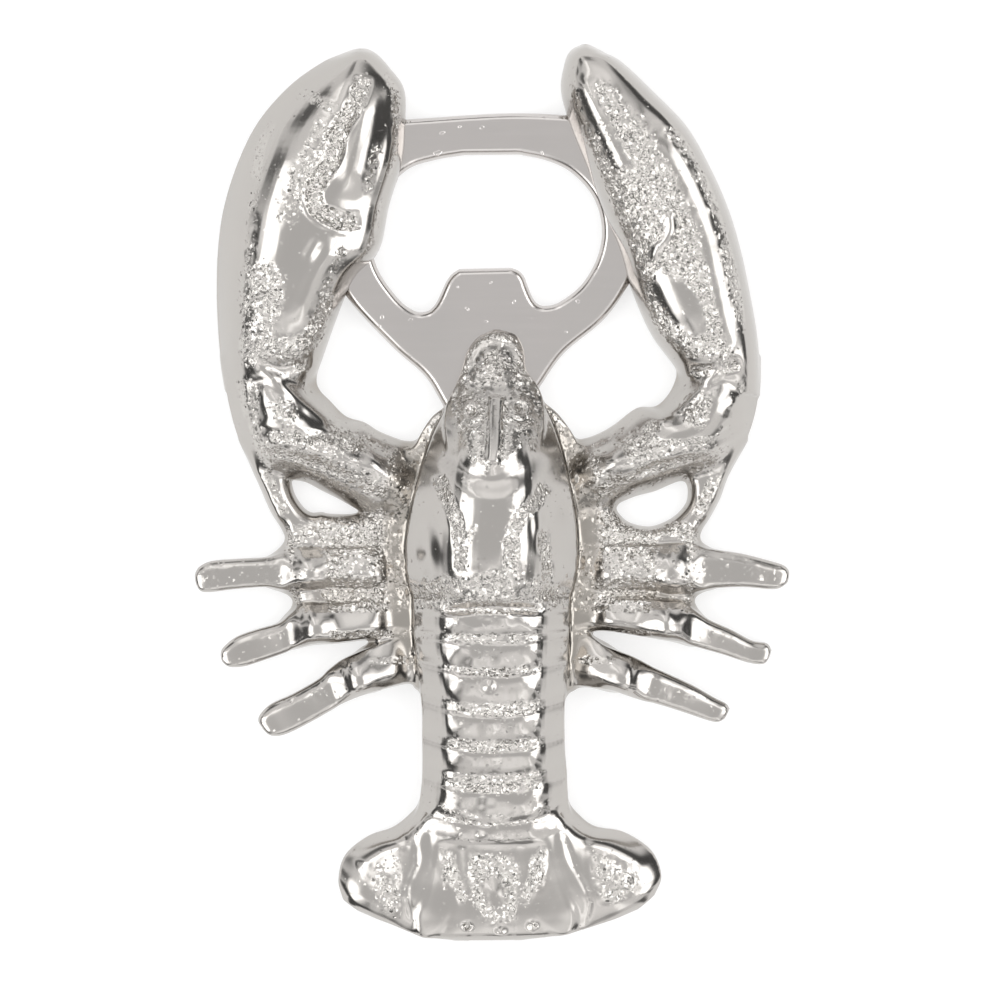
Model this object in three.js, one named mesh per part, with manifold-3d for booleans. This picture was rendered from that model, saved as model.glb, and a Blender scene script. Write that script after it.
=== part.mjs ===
// Lobster-shaped bottle opener: a flat-backed, sand-cast metal lobster, and a flat steel opener
// plate whose edges and stem are held inside the casting. Nothing on it moves.
//
// Frame: millimetres. The opener lies on its flat back on z = 0 with its top side facing +Z,
// its claws towards +Y and its tail towards -Y. The origin is the centre of the outer box's underside.

import * as THREE from "three";
import { mergeVertices } from "three/addons/utils/BufferGeometryUtils.js";
import Module from "manifold-3d";

const wasm = await Module();
wasm.setup();

// ---- Driving dimensions ------------------------------------------------------------------------

const WEB_TOP = 4.5; // thickness of the metal that joins the legs to each other
const CLAW_CROWN = 14; // highest line of a claw
const CLAW_WALL = 5.6; // height at which a claw's side turns into its dome: it covers the plate
const ARM_WALL = 4;
const LEG_WALL = 2;
const SHELL_CROWN = 20; // highest point of the back shell, and of the whole opener
const SHELL_WALL = 5;
const TAIL_WALL = 2;

const PLATE_THICKNESS = 2.5;
const PLATE_BOTTOM = 1.5; // the casting wraps this far under the plate
const PLATE_FIT = 0.3; // gap left between the plate and the casting all round
const ANCHOR_RADIUS = 3.5; // hole in the plate's stem that the casting's metal runs through
const ANCHOR_Y = 1;

const ABDOMEN_FRONT = { y: -21, halfWidth: 13.6, crown: 17 };
const ABDOMEN_BACK = { y: -60, halfWidth: 12.4, crown: 9.5 };
const RING_BACKS = [-25.5, -31.5, -38, -44.5, -51, -57]; // rear edge of each tail ring
const RING_STEP = 1.3; // how far a ring stands over the one behind it
const RING_SLOPE = 0.3; // share of a ring's length that its front and its rear each slope over
const RING_SHOULDER_DROP = 0.3; // how far a ring's front shoulder lies under its top
const RING_LIP = 0.6; // length of the drop at a ring's rear edge
const RING_DRAW = 1 / 3; // how far the sides draw in for each millimetre the crown drops
const CORE_LAP = 3; // how far the tail's core reaches into the back shell

const DOME_HEIGHT_MIN = 0.5; // a body's wall always stays this far under its crown
const ROUND_SEGMENTS = 24;
const WELD_DISTANCE = 1e-4;

// A rib is one cross-section of a rounded body, seen from above: [ax, ay, bx, by, crown height],
// running from the body's edge at a to its edge at b.

const LEFT_CLAW = [
  [-26.2, 78.2, -21, 78.3, 6.6],
  [-30.5, 76.5, -18.4, 75.4, 9],
  [-36.2, 72.1, -15.7, 71.6, 11],
  [-41.6, 65.9, -15.3, 66, 12.5],
  [-45.3, 58.8, -15.9, 59, 13.5],
  [-47.8, 51, -18.3, 51, CLAW_CROWN],
  [-48.8, 44, -20, 43.5, CLAW_CROWN],
  [-49.1, 36.5, -24.3, 38.2, 13.5],
  [-49, 29.5, -27.8, 30.5, 12.5],
  [-48.4, 22.5, -31.3, 22, 11],
];

const RIGHT_CLAW = [
  [15.3, 79.9, 18, 79.6, 6.6],
  [13.2, 77, 23, 76.7, 9],
  [12.4, 71.5, 29, 71.3, 11],
  [14.2, 65, 35, 65, 12.5],
  [17, 58, 39.3, 57.4, 13.5],
  [20, 50, 42.5, 50, CLAW_CROWN],
  [23, 43, 44.7, 42.5, CLAW_CROWN],
  [24.8, 36, 46.2, 35.4, 13.5],
  [28.5, 28, 47.4, 28, 12.5],
  [33, 21.5, 47.9, 21.5, 11],
];

const LEFT_ARM = [
  [-48, 25, -31, 25, 8.5],
  [-46.2, 12.5, -30, 17, 11],
  [-43, 4.5, -27, 14.5, 11],
  [-36, 2.2, -24, 13.1, 10.5],
  [-30, 0.2, -20, 9.8, 10],
  [-24, -3, -14.5, 6.7, 10],
  [-15, -8, -8, 2, 10],
];

const RIGHT_ARM = [
  [47.5, 25, 31.6, 25, 8.5],
  [47, 12.5, 30.5, 16, 11],
  [43.5, 5, 26.5, 14.9, 11],
  [36, 3.2, 22, 11.8, 10.5],
  [30, 1, 18, 8.8, 10],
  [24, -1.6, 15, 8, 10],
  [15, -7, 8, 2, 10],
];

const LEGS = [
  [
    [-53, -14.6, -52.7, -17.3, 3],
    [-50.5, -12.7, -50.5, -18.1, 4.5],
    [-46, -12.2, -46, -17.6, 5.5],
    [-40.5, -11.9, -40.5, -17.2, 6],
    [-36, -10.2, -36, -18.9, 7.5],
    [-31.5, -10.5, -31.5, -18.3, 9],
    [-24, -11, -24, -17, 8],
    [-12, -10, -12, -18, 7],
  ],
  [
    [-48.3, -28.8, -47.4, -31.4, 3],
    [-46.4, -26.6, -44.8, -31.5, 4.5],
    [-42, -24.8, -41, -30.4, 5.5],
    [-38, -23.6, -37, -29, 6],
    [-34, -20.6, -33.2, -27.8, 8.5],
    [-28, -20.5, -27.5, -27.5, 8.5],
    [-21, -20, -21, -26.4, 7.5],
    [-11, -19.5, -11, -26, 7],
  ],
  [
    [-41.6, -40.9, -40.2, -43.5, 3],
    [-39.7, -38.5, -37.2, -43.6, 4.5],
    [-35.5, -36.3, -33, -41.7, 5.5],
    [-31, -33.7, -28, -39.2, 6.5],
    [-26.5, -29.8, -24, -37.3, 8.5],
    [-22.5, -28, -21, -36, 8.5],
    [-17.5, -27, -16.5, -34.7, 7.5],
    [-10, -26, -10, -33.5, 7],
  ],
  [
    [52.9, -14, 52.2, -17.1, 3],
    [50, -12.6, 50, -17.6, 4.5],
    [45, -11.3, 45, -17.2, 5.5],
    [40, -10.5, 40, -17.4, 6],
    [36, -9.6, 36, -19.2, 8],
    [31, -10, 31, -18.5, 9],
    [24, -10, 24, -17, 8],
    [12, -10, 12, -18, 7],
  ],
  [
    [50, -28, 49, -30.8, 3],
    [47.4, -27.1, 46.4, -30.9, 4.5],
    [43, -24.9, 41.5, -29.3, 5.5],
    [39, -23.1, 38, -28.3, 6],
    [35.6, -20, 34.8, -27.3, 8.5],
    [29, -19.8, 28.6, -26.3, 8.5],
    [21, -19.6, 21, -25, 7.5],
    [11, -19.5, 11, -25.5, 7],
  ],
  [
    [42.4, -38.6, 41, -41.3, 3],
    [40.6, -37.3, 38.8, -41.1, 4.5],
    [36, -34.8, 34.4, -39.6, 5.5],
    [31, -32.5, 29.3, -38, 6.5],
    [26.5, -30.2, 25, -36.8, 8.5],
    [22, -28.4, 21, -35.6, 8.5],
    [17, -26, 16.5, -35, 7.5],
    [10, -25, 10, -34, 7],
  ],
];

const SHELL = [
  [-8.7, 14.2, 10, 14.4, 12.5],
  [-10.4, 10.5, 11.6, 10.8, 15],
  [-12, 5.5, 12.6, 6, 18],
  [-13.6, 0, 14, 0, 19.7],
  [-14.9, -6, 15, -6, SHELL_CROWN],
  [-15.3, -12, 15.3, -12, 19.6],
  [-14.6, -17.5, 14.4, -17.5, 18.4],
  [-12.8, -21.8, 12.8, -21.8, 17],
];

// The head lies on top of the plate, so its underside is at the plate's upper face.
const HEAD = [
  [-1.8, 28.6, 2.6, 28.6, 6],
  [-4, 25.6, 5.2, 25.6, 8],
  [-5, 21.8, 6.1, 21.8, 10],
  [-6.8, 18, 8.9, 18.4, 11.5],
  [-7.8, 13, 9, 13, 13.5],
  [-8, 8, 8, 8, 14.5],
];

const TAIL_LOBES = [
  [
    [-9, -56.5, 9, -56.5, 9.5],
    [-9, -64, 9.5, -64, 8.8],
    [-10.5, -72, 12, -72, 7],
    [-10.5, -77.5, 12, -77.5, 4.8],
    [-6, -80.1, 6, -80.1, 3],
  ],
  [
    [-6, -60, -12.4, -56, 8.5],
    [-7, -68, -17.5, -60, 7.5],
    [-8, -77.5, -22.5, -62, 6.5],
    [-15.5, -78.2, -26.6, -65.6, 5.2],
    [-24, -75.4, -27.5, -69.5, 3],
  ],
  [
    [6, -60, 13.3, -56, 8.5],
    [7, -68, 18, -59.8, 7.5],
    [8, -77.5, 24.2, -61.3, 6.5],
    [16.5, -78.1, 29.1, -65, 5.2],
    [26, -75.2, 30.4, -69.5, 3],
  ],
];

// Plan outlines of the metal between the legs, and of the hole between each arm and first leg.
const LEFT_WEB = {
  freeEdge: [[-44.6, 8], [-42, 2], [-40.3, -2.4], [-38.2, -6], [-37, -9]],
  corners: [
    [-36.5, -18.6], [-35.3, -20.6], [-33, -26.4], [-22, -26.7], [-22.4, -28.4],
    [-20, -34.6], [-8, -34], [-8, 6], [-26, 10],
  ],
  hole: [[-36.1, 1.6], [-32.6, 1.9], [-27, -1.2], [-23.2, -3.8], [-29.2, -4.1], [-33.5, -3.1]],
};
const RIGHT_WEB = {
  freeEdge: [[45, 8], [42, 2], [40.4, -2.4], [38.2, -6], [37.3, -9]],
  corners: [
    [36.9, -18.8], [36, -20.6], [34, -26], [18, -25.1], [21, -28],
    [20, -34.8], [8, -34], [8, 6], [26, 10],
  ],
  hole: [[34.7, 1.5], [30.5, 0.7], [25, -0.8], [22.5, -2.6], [25, -5.6], [28.6, -6.3], [33.3, -4]],
};

// Plan outline of the opener plate. Its side edges run inside the claws.
const PLATE_BAR_TOP = [[-22, 66], [-14, 66.5], [2, 67.5], [13, 67.2], [20, 66.2]];
const PLATE_RIGHT_SIDE = [
  [26.5, 60], [29, 52], [28.4, 44.5], [24.4, 36.6], [20, 30.5], [13, 24.6], [8.6, 18.5],
];
const PLATE_LEFT_SIDE = [
  [-8.8, 15.5], [-12, 20.6], [-18, 26], [-26.4, 35.4], [-29.6, 44.5], [-29.8, 53], [-27.5, 61],
];
const PLATE_STEM = { halfWidth: 7.5, top: 12, bottom: -7, corner: 3 };
const CAP_OPENING = {
  tooth: { left: [-6, 39.5], right: [4, 39.8] },
  rightEdge: [
    [7.2, 35], [9.4, 33.1], [12.5, 34], [16.4, 37.4], [19.2, 42.5],
    [19.7, 47.5], [18, 53], [14, 57.1], [8, 59.5],
  ],
  leftEdge: [
    [-10, 59.1], [-16, 56.7], [-20.3, 51], [-21.3, 44], [-19.4, 38],
    [-16, 33.7], [-12.8, 31.9], [-10.2, 33.1], [-9, 35.3],
  ],
};

// ---- Solids ------------------------------------------------------------------------------------

// A manifold-3d solid from a closed three.js geometry.
function solidOf(geometry) {
  const bare = geometry.index ? geometry.toNonIndexed() : geometry.clone();
  bare.deleteAttribute("normal");
  bare.deleteAttribute("uv");
  const merged = mergeVertices(bare, WELD_DISTANCE);
  return new wasm.Manifold(
    new wasm.Mesh({
      numProp: 3,
      vertProperties: merged.getAttribute("position").array,
      triVerts: new Uint32Array(merged.index.array),
    }),
  );
}

function meshOf(solid, name, material) {
  const mesh = solid.getMesh();
  const geometry = new THREE.BufferGeometry();
  geometry.setAttribute("position", new THREE.BufferAttribute(new Float32Array(mesh.vertProperties), 3));
  geometry.setIndex(new THREE.BufferAttribute(new Uint32Array(mesh.triVerts), 1));
  geometry.computeVertexNormals();
  const made = new THREE.Mesh(geometry, material);
  made.name = name;
  return made;
}

// One closed cross-section: up the wall at a, over the dome, down the wall at b.
function ribPoints(a, b, crown, wall, base, domeSteps) {
  const points = [new THREE.Vector3(a.x, a.y, base)];
  const low = Math.min(wall, crown - DOME_HEIGHT_MIN);
  for (let i = 0; i <= domeSteps; i++) {
    const turn = (Math.PI * i) / domeSteps;
    const across = (1 - Math.cos(turn)) / 2;
    const z = low + (crown - low) * Math.sin(turn);
    points.push(new THREE.Vector3(a.x + (b.x - a.x) * across, a.y + (b.y - a.y) * across, z));
  }
  points.push(new THREE.Vector3(b.x, b.y, base));
  return points;
}

// A domed body with a flat underside, lofted smoothly through its ribs.
function domedBody(ribs, { wall, base = 0, between = 2, domeSteps = 8 }) {
  const aPoints = ribs.map(([ax, ay, , , crown]) => new THREE.Vector3(ax, ay, crown));
  const bPoints = ribs.map(([, , bx, by]) => new THREE.Vector3(bx, by, 0));
  const aSide = new THREE.CatmullRomCurve3(aPoints);
  const bSide = new THREE.CatmullRomCurve3(bPoints);
  const count = (ribs.length - 1) * between + 1;
  const rings = [];
  for (let i = 0; i < count; i++) {
    const a = aSide.getPoint(i / (count - 1));
    const b = bSide.getPoint(i / (count - 1));
    rings.push(ribPoints(a, b, a.z, wall, base, domeSteps));
  }
  const around = rings[0].length;
  const index = [];
  for (let i = 0; i + 1 < count; i++) {
    for (let j = 0; j < around; j++) {
      const here = i * around + j;
      const beside = i * around + ((j + 1) % around);
      index.push(here, beside, here + around);
      index.push(beside, beside + around, here + around);
    }
  }
  const last = (count - 1) * around;
  for (let j = 1; j + 1 < around; j++) {
    index.push(0, j + 1, j);
    index.push(last, last + j, last + j + 1);
  }
  const geometry = new THREE.BufferGeometry().setFromPoints(rings.flat());
  geometry.setIndex(index);
  const body = solidOf(geometry);
  if (body.volume() > 0) {
    return body;
  }
  // Ribs that run the other way round turn the body inside out, so each face is turned back.
  geometry.setIndex(index.reverse());
  return solidOf(geometry);
}

function vectors(points) {
  return points.map(([x, y]) => new THREE.Vector2(x, y));
}

// The flat metal between the legs on one side.
function webBody({ freeEdge, corners, hole }) {
  const shape = new THREE.Shape();
  shape.moveTo(...freeEdge[0]);
  shape.splineThru(vectors(freeEdge.slice(1)));
  corners.forEach(([x, y]) => shape.lineTo(x, y));
  shape.closePath();
  const gap = new THREE.Path();
  gap.moveTo(...hole[0]);
  gap.splineThru(vectors([...hole.slice(1), hole[0]]));
  shape.holes.push(gap);
  const settings = { depth: WEB_TOP, bevelEnabled: false, curveSegments: 3 };
  return solidOf(new THREE.ExtrudeGeometry(shape, settings));
}

// The rings of the tail: short domed bodies that step down from the back shell to the tail fan.
function abdomenBodies() {
  const ribAt = (y, drop) => {
    const share = (y - ABDOMEN_FRONT.y) / (ABDOMEN_BACK.y - ABDOMEN_FRONT.y);
    const half = THREE.MathUtils.lerp(ABDOMEN_FRONT.halfWidth, ABDOMEN_BACK.halfWidth, share);
    const crown = THREE.MathUtils.lerp(ABDOMEN_FRONT.crown, ABDOMEN_BACK.crown, share);
    const reach = half - drop * RING_DRAW;
    return [-reach, y, reach, y, crown - drop];
  };
  const coreDrop = 2 * RING_STEP;
  const coreRibs = [0, 1 / 3, 2 / 3, 1].map((share) => {
    const y = THREE.MathUtils.lerp(ABDOMEN_FRONT.y + CORE_LAP, ABDOMEN_BACK.y, share);
    return ribAt(y, coreDrop);
  });
  const bodies = [domedBody(coreRibs, { wall: SHELL_WALL })];
  let front = ABDOMEN_FRONT.y + 1;
  for (const back of RING_BACKS) {
    const slope = RING_SLOPE * (front - back);
    const ribs = [
      ribAt(front, coreDrop),
      ribAt(front - slope, RING_SHOULDER_DROP),
      ribAt(back + slope, 0),
      ribAt(back - RING_LIP, RING_STEP),
    ];
    bodies.push(domedBody(ribs, { wall: SHELL_WALL, between: 1 }));
    front = back;
  }
  return bodies;
}

function plateShape() {
  const shape = new THREE.Shape();
  const { halfWidth, top, bottom, corner } = PLATE_STEM;
  shape.moveTo(...PLATE_BAR_TOP[0]);
  shape.splineThru(vectors(PLATE_BAR_TOP.slice(1)));
  shape.splineThru(vectors(PLATE_RIGHT_SIDE));
  shape.lineTo(halfWidth, top);
  shape.lineTo(halfWidth, bottom + corner);
  shape.absarc(halfWidth - corner, bottom + corner, corner, 0, -Math.PI / 2, true);
  shape.absarc(-halfWidth + corner, bottom + corner, corner, -Math.PI / 2, -Math.PI, true);
  shape.lineTo(-halfWidth, top);
  shape.lineTo(...PLATE_LEFT_SIDE[0]);
  shape.splineThru(vectors([...PLATE_LEFT_SIDE.slice(1), PLATE_BAR_TOP[0]]));

  const { tooth, rightEdge, leftEdge } = CAP_OPENING;
  const opening = new THREE.Path();
  opening.moveTo(...tooth.left);
  opening.lineTo(...tooth.right);
  opening.splineThru(vectors(rightEdge));
  opening.splineThru(vectors(leftEdge));
  opening.lineTo(...tooth.left);
  shape.holes.push(opening);
  return shape;
}

// The round bar of metal that stands in the stem's anchor hole.
function anchorBar(radius) {
  const bar = new THREE.CylinderGeometry(radius, radius, 4 * PLATE_THICKNESS, ROUND_SEGMENTS);
  bar.rotateX(Math.PI / 2);
  bar.translate(0, ANCHOR_Y, 0);
  return solidOf(bar);
}

function plateBody() {
  const settings = { depth: PLATE_THICKNESS, bevelEnabled: false, curveSegments: 3 };
  const blank = solidOf(new THREE.ExtrudeGeometry(plateShape(), settings));
  return blank.subtract(anchorBar(ANCHOR_RADIUS)).translate([0, 0, PLATE_BOTTOM]);
}

// The plate grown by the fit on every side, which the casting is cut by.
function plateRoom() {
  const settings = {
    depth: PLATE_THICKNESS,
    bevelEnabled: true,
    bevelThickness: PLATE_FIT,
    bevelSize: PLATE_FIT,
    bevelSegments: 1,
    curveSegments: 3,
  };
  const grown = solidOf(new THREE.ExtrudeGeometry(plateShape(), settings));
  return grown.subtract(anchorBar(ANCHOR_RADIUS - PLATE_FIT)).translate([0, 0, PLATE_BOTTOM]);
}

function castingBody() {
  const plateTop = PLATE_BOTTOM + PLATE_THICKNESS + PLATE_FIT;
  const bodies = [
    domedBody(SHELL, { wall: SHELL_WALL, domeSteps: 12 }),
    domedBody(HEAD, { wall: plateTop + 1, base: plateTop }),
    domedBody(LEFT_CLAW, { wall: CLAW_WALL, domeSteps: 10 }),
    domedBody(RIGHT_CLAW, { wall: CLAW_WALL, domeSteps: 10 }),
    domedBody(LEFT_ARM, { wall: ARM_WALL }),
    domedBody(RIGHT_ARM, { wall: ARM_WALL }),
    ...LEGS.map((ribs) => domedBody(ribs, { wall: LEG_WALL, between: 1, domeSteps: 6 })),
    ...abdomenBodies(),
    ...TAIL_LOBES.map((ribs) => domedBody(ribs, { wall: TAIL_WALL })),
    webBody(LEFT_WEB),
    webBody(RIGHT_WEB),
  ];
  const whole = bodies.reduce((joined, body) => joined.add(body));
  return whole.subtract(plateRoom());
}

// ---- Scene -------------------------------------------------------------------------------------

const nickel = new THREE.MeshStandardMaterial({ color: 0xcfcbc6, metalness: 1, roughness: 0.3 });
const steel = new THREE.MeshStandardMaterial({ color: 0xbdb8b4, metalness: 1, roughness: 0.16 });

const opener = new THREE.Group();
opener.add(meshOf(castingBody(), "lobster_casting", nickel));
opener.add(meshOf(plateBody(), "opener_insert", steel));

// Put the origin at the centre of the outer box's underside.
const outerBox = new THREE.Box3().setFromObject(opener);
const middle = outerBox.getCenter(new THREE.Vector3());
opener.children.forEach((mesh) => mesh.position.set(-middle.x, -middle.y, -outerBox.min.z));

export default opener;
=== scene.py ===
"""The looks of the lobster-shaped bottle opener: a part-polished sand casting and a sheared steel plate.

Sizes are in the opener's own millimetres, claws towards +Y, flat back on z = 0, and are placed by the
frame. The casting is built as a field of distances: rounded bodies lofted through their ribs are melted
into each other, the plate's room is cut out, and the skin is then worked with a relief of grooves,
wrinkles, rings and cast grain, drawn from above as a pattern maker would cut them.
"""

import math

import bpy
import numpy as np
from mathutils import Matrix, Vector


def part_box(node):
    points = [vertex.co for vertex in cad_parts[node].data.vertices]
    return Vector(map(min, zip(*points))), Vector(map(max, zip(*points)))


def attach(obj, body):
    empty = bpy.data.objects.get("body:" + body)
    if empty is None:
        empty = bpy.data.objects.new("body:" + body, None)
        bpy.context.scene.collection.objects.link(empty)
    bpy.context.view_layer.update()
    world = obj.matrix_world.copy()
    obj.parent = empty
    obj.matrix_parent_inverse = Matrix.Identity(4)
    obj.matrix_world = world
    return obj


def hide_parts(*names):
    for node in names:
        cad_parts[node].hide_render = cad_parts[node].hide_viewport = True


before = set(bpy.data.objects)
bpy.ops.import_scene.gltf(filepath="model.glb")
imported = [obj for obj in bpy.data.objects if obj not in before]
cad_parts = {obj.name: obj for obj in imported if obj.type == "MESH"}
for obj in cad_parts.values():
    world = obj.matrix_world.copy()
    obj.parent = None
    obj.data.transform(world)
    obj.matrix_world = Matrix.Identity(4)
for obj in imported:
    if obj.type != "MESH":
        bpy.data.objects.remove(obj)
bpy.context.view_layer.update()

import openvdb
from mathutils import Matrix, Vector

# ---- Frame ----

CASTING_LENGTH = 160.0
CASTING_LEFT = -53.0
CASTING_TAIL = -80.1
LOW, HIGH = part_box("lobster_casting")
MM = (HIGH.y - LOW.y) / CASTING_LENGTH
ORIGIN = np.array([LOW.x - CASTING_LEFT * MM, LOW.y - CASTING_TAIL * MM, LOW.z])

PLATE_LOW, PLATE_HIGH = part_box("opener_insert")
PLATE_BOTTOM = (PLATE_LOW.z - LOW.z) / MM
PLATE_TOP = (PLATE_HIGH.z - LOW.z) / MM

VOXEL = 0.3
BAND = 6  # voxels on each side of a surface in which distances are kept
FAR = VOXEL * BAND
FIELD_LOW = (-54.5, -82.0, -3.0)
FIELD_HIGH = (54.5, 82.0, 22.0)
FIELD_FIRST = np.array([round(v / VOXEL) for v in FIELD_LOW])
FIELD_LAST = np.array([round(v / VOXEL) for v in FIELD_HIGH])
FIELD_SHAPE = tuple(FIELD_LAST - FIELD_FIRST + 1)

# ---- Bodies ----
# A rib is one cross-section: [ax, ay, bx, by, crown height], from edge a to edge b as seen from above. It
# may end with a wall and a power of its own, or with a wall for each edge and a power.

LEFT_CLAW = [
    [-24.5, 79.0, -22.3, 79.1, 4.6, 0.60, 0.5, 1.8], [-27.0, 78.0, -20.4, 78.0, 7.4, 0.50, 0.42, 1.6],
    [-30.5, 76.4, -18.2, 75.6, 9.6, 0.45, 0.40, 1.55], [-36.2, 72.2, -15.6, 71.8, 11.8, 0.42, 0.38, 1.65],
    [-41.7, 65.9, -15.4, 66, 13.2, 0.32, 0.34, 2.15], [-45.3, 58.8, -15.9, 59, 13.9, 0.22, 0.33, 2.6],
    [-47.8, 51, -18.3, 51, 14, 0.18, 0.33, 2.8], [-48.9, 44, -20.1, 43, 14, 0.12, 0.33, 2.9],
    [-49.2, 36.5, -24.6, 38.0, 13.6, 0.10, 0.33, 2.9], [-49.0, 29.5, -27.8, 30.5, 12.6, 0.10, 0.33, 2.9],
    [-48.4, 22.5, -30.6, 22.6, 11, 0.12, 0.33, 2.9], [-47.6, 18.0, -32.0, 19.5, 9, 0.14, 0.33, 2.9],
]
RIGHT_CLAW = [
    [16.2, 79.9, 17.6, 79.8, 4.6], [14.2, 78.8, 20.4, 78.3, 7.4], [13.1, 76.6, 23.4, 76.6, 9.6],
    [12.4, 71.5, 29.0, 71.3, 11.6], [14.2, 65, 35.0, 65, 13], [17.0, 58, 39.3, 57.4, 13.8],
    [20.0, 50, 42.5, 50, 14], [23.0, 43, 44.7, 42.5, 14], [25.0, 36, 46.2, 35.4, 13.6],
    [28.5, 28, 47.5, 28, 12.6], [32.6, 22.4, 48.0, 21.5, 11], [34.2, 19.5, 47.8, 17, 9],
]
LEFT_ARM = [
    [-48.2, 24, -31.8, 22.5, 9], [-47.0, 15.5, -31.0, 18.5, 11], [-44.6, 8.0, -28.8, 16.0, 11],
    [-40.5, 4.2, -26.0, 13.3, 11], [-34.0, 2.0, -22.5, 12.1, 10.5], [-28.5, -0.6, -19.5, 9.6, 10],
    [-23.0, -3.6, -14.5, 6.7, 8.8], [-14.0, -7.5, -8, 2, 5.4],
]
RIGHT_ARM = [
    [48.0, 24, 33.5, 21.5, 9], [47.5, 15.5, 32.0, 17.8, 11], [45.2, 8.5, 29.5, 15.2, 11],
    [41.0, 4.6, 26.0, 14.8, 11], [33.5, 1.9, 22.0, 11.8, 10.5], [28.0, -0.1, 18.5, 9.0, 10],
    [23.0, -2.0, 15.0, 8.0, 8.8], [14.0, -7, 8, 2, 5.4],
]
# A leg's ribs, by joint: the flat outer one, the round knee and the sloping inner one.
LEG_JOINTS = [
    [
        [[-53.1, -14.9, -52.9, -16.5, 4.3], [-52.3, -13.6, -52.1, -17.9, 4.75],
         [-50.2, -12.6, -50.2, -18.1, 5.0], [-46.0, -12.2, -46.0, -17.6, 5.2],
         [-40.5, -11.9, -40.5, -17.2, 5.5], [-37.6, -11.4, -37.6, -17.6, 5.7]],
        [[-35.8, -10.8, -35.8, -17.4, 6.5], [-33.9, -10.6, -33.9, -17.2, 7.4],
         [-32.2, -10.6, -32.2, -17.2, 7.7], [-30.4, -10.6, -30.4, -17.0, 7.4]],
        [[-28.5, -10.6, -28.5, -16.8, 7.2], [-21.0, -10.4, -21.0, -17.0, 6.7],
         [-17.6, -10.2, -17.6, -17.2, 4.9], [-12.0, -10.0, -12.0, -17.4, 4.6]],
    ],
    [
        [[-48.5, -29.2, -48.2, -30.6, 4.3], [-48.0, -28.0, -46.9, -31.5, 4.75],
         [-45.6, -26.1, -44.2, -31.4, 5.0], [-42.0, -24.8, -41.0, -30.4, 5.2],
         [-38.0, -23.6, -37.0, -29.0, 5.7], [-36.2, -22.2, -35.4, -28.2, 5.9]],
        [[-34.2, -20.8, -33.6, -27.8, 7.1], [-32.4, -20.4, -32.0, -27.4, 8.1],
         [-30.8, -20.4, -30.4, -27.2, 8.2], [-29.0, -20.4, -28.8, -27.2, 7.8]],
        [[-27.0, -20.4, -27.0, -27.0, 7.5], [-21.0, -19.8, -21.0, -26.2, 6.8],
         [-17.6, -19.6, -17.6, -26.0, 4.9], [-11.0, -19.5, -11.0, -26.0, 4.6]],
    ],
    [
        [[-41.8, -41.2, -40.6, -43.0, 4.3], [-41.4, -40.0, -39.4, -43.8, 4.75],
         [-39.4, -38.1, -37.0, -43.6, 5.0], [-35.5, -36.3, -33.0, -41.7, 5.5],
         [-31.0, -33.7, -28.6, -39.2, 6.0], [-29.4, -32.2, -27.0, -38.2, 6.1]],
        [[-27.4, -30.6, -25.2, -37.4, 7.0], [-26.0, -29.8, -23.8, -36.8, 8.0],
         [-24.6, -29.2, -22.6, -36.4, 8.2], [-23.2, -28.6, -21.4, -36.0, 7.9]],
        [[-21.4, -28.0, -20.2, -35.6, 7.6], [-17.9, -27.0, -17.1, -34.7, 6.6],
         [-15.0, -26.5, -14.5, -34.0, 4.9], [-10.0, -26.0, -10.0, -33.5, 4.6]],
    ],
    [
        [[53.3, -14.4, 53.0, -16.4, 4.3], [52.4, -13.4, 51.8, -17.3, 4.75],
         [50.0, -12.6, 50.0, -17.6, 5.0], [45.0, -11.3, 45.0, -17.2, 5.4],
         [40.0, -10.5, 40.0, -17.4, 5.6], [37.6, -10.1, 37.6, -17.8, 5.8]],
        [[35.8, -9.8, 35.8, -17.8, 6.6], [33.9, -9.8, 33.9, -17.8, 7.5], [32.1, -9.8, 32.1, -17.8, 7.8],
         [30.2, -10.0, 30.2, -17.6, 7.5]],
        [[28.2, -10.0, 28.2, -17.2, 7.2], [21.0, -10.0, 21.0, -17.2, 6.7],
         [17.6, -10.0, 17.6, -17.4, 4.9], [12.0, -10.0, 12.0, -17.6, 4.6]],
    ],
    [
        [[50.1, -28.5, 49.6, -30.0, 4.3], [49.3, -27.3, 48.6, -31.0, 4.7],
         [46.6, -26.8, 45.8, -30.7, 4.9], [43.0, -24.9, 41.5, -29.3, 5.3],
         [39.0, -23.1, 38.0, -28.3, 5.8], [36.4, -21.4, 35.6, -27.6, 6.4]],
        [[34.2, -20.2, 33.8, -27.0, 7.8], [31.4, -19.8, 31.2, -26.6, 8.9],
         [28.6, -19.6, 28.6, -26.2, 8.0]],
        [[26.0, -19.6, 26.0, -25.8, 7.4], [21.0, -19.4, 21.0, -25.0, 6.8],
         [17.6, -19.4, 17.6, -25.0, 4.9], [11.0, -19.5, 11.0, -25.5, 4.6]],
    ],
    [
        [[42.6, -39.0, 41.7, -40.8, 4.3], [42.0, -38.1, 40.4, -41.4, 4.7],
         [40.0, -37.1, 38.2, -40.9, 4.9], [36.0, -34.8, 34.4, -39.6, 5.3],
         [31.0, -32.5, 29.3, -38.0, 6.0], [29.0, -31.6, 27.4, -37.6, 6.1]],
        [[26.8, -30.4, 25.4, -37.0, 7.0], [25.2, -29.6, 24.0, -36.5, 8.0],
         [23.6, -29.0, 22.6, -36.0, 8.1], [22.0, -28.4, 21.2, -35.6, 7.8]],
        [[20.0, -27.6, 19.4, -35.3, 7.4], [17.6, -26.0, 17.1, -35.0, 6.4],
         [14.8, -25.5, 14.4, -34.5, 4.9], [10.0, -25.0, 10.0, -34.0, 4.6]],
    ],
]
JOINT_SECTIONS = [(0.8, 6.0), (0.66, 2.6), (0.74, 1.5)]  # the wall and the power of each joint
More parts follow.
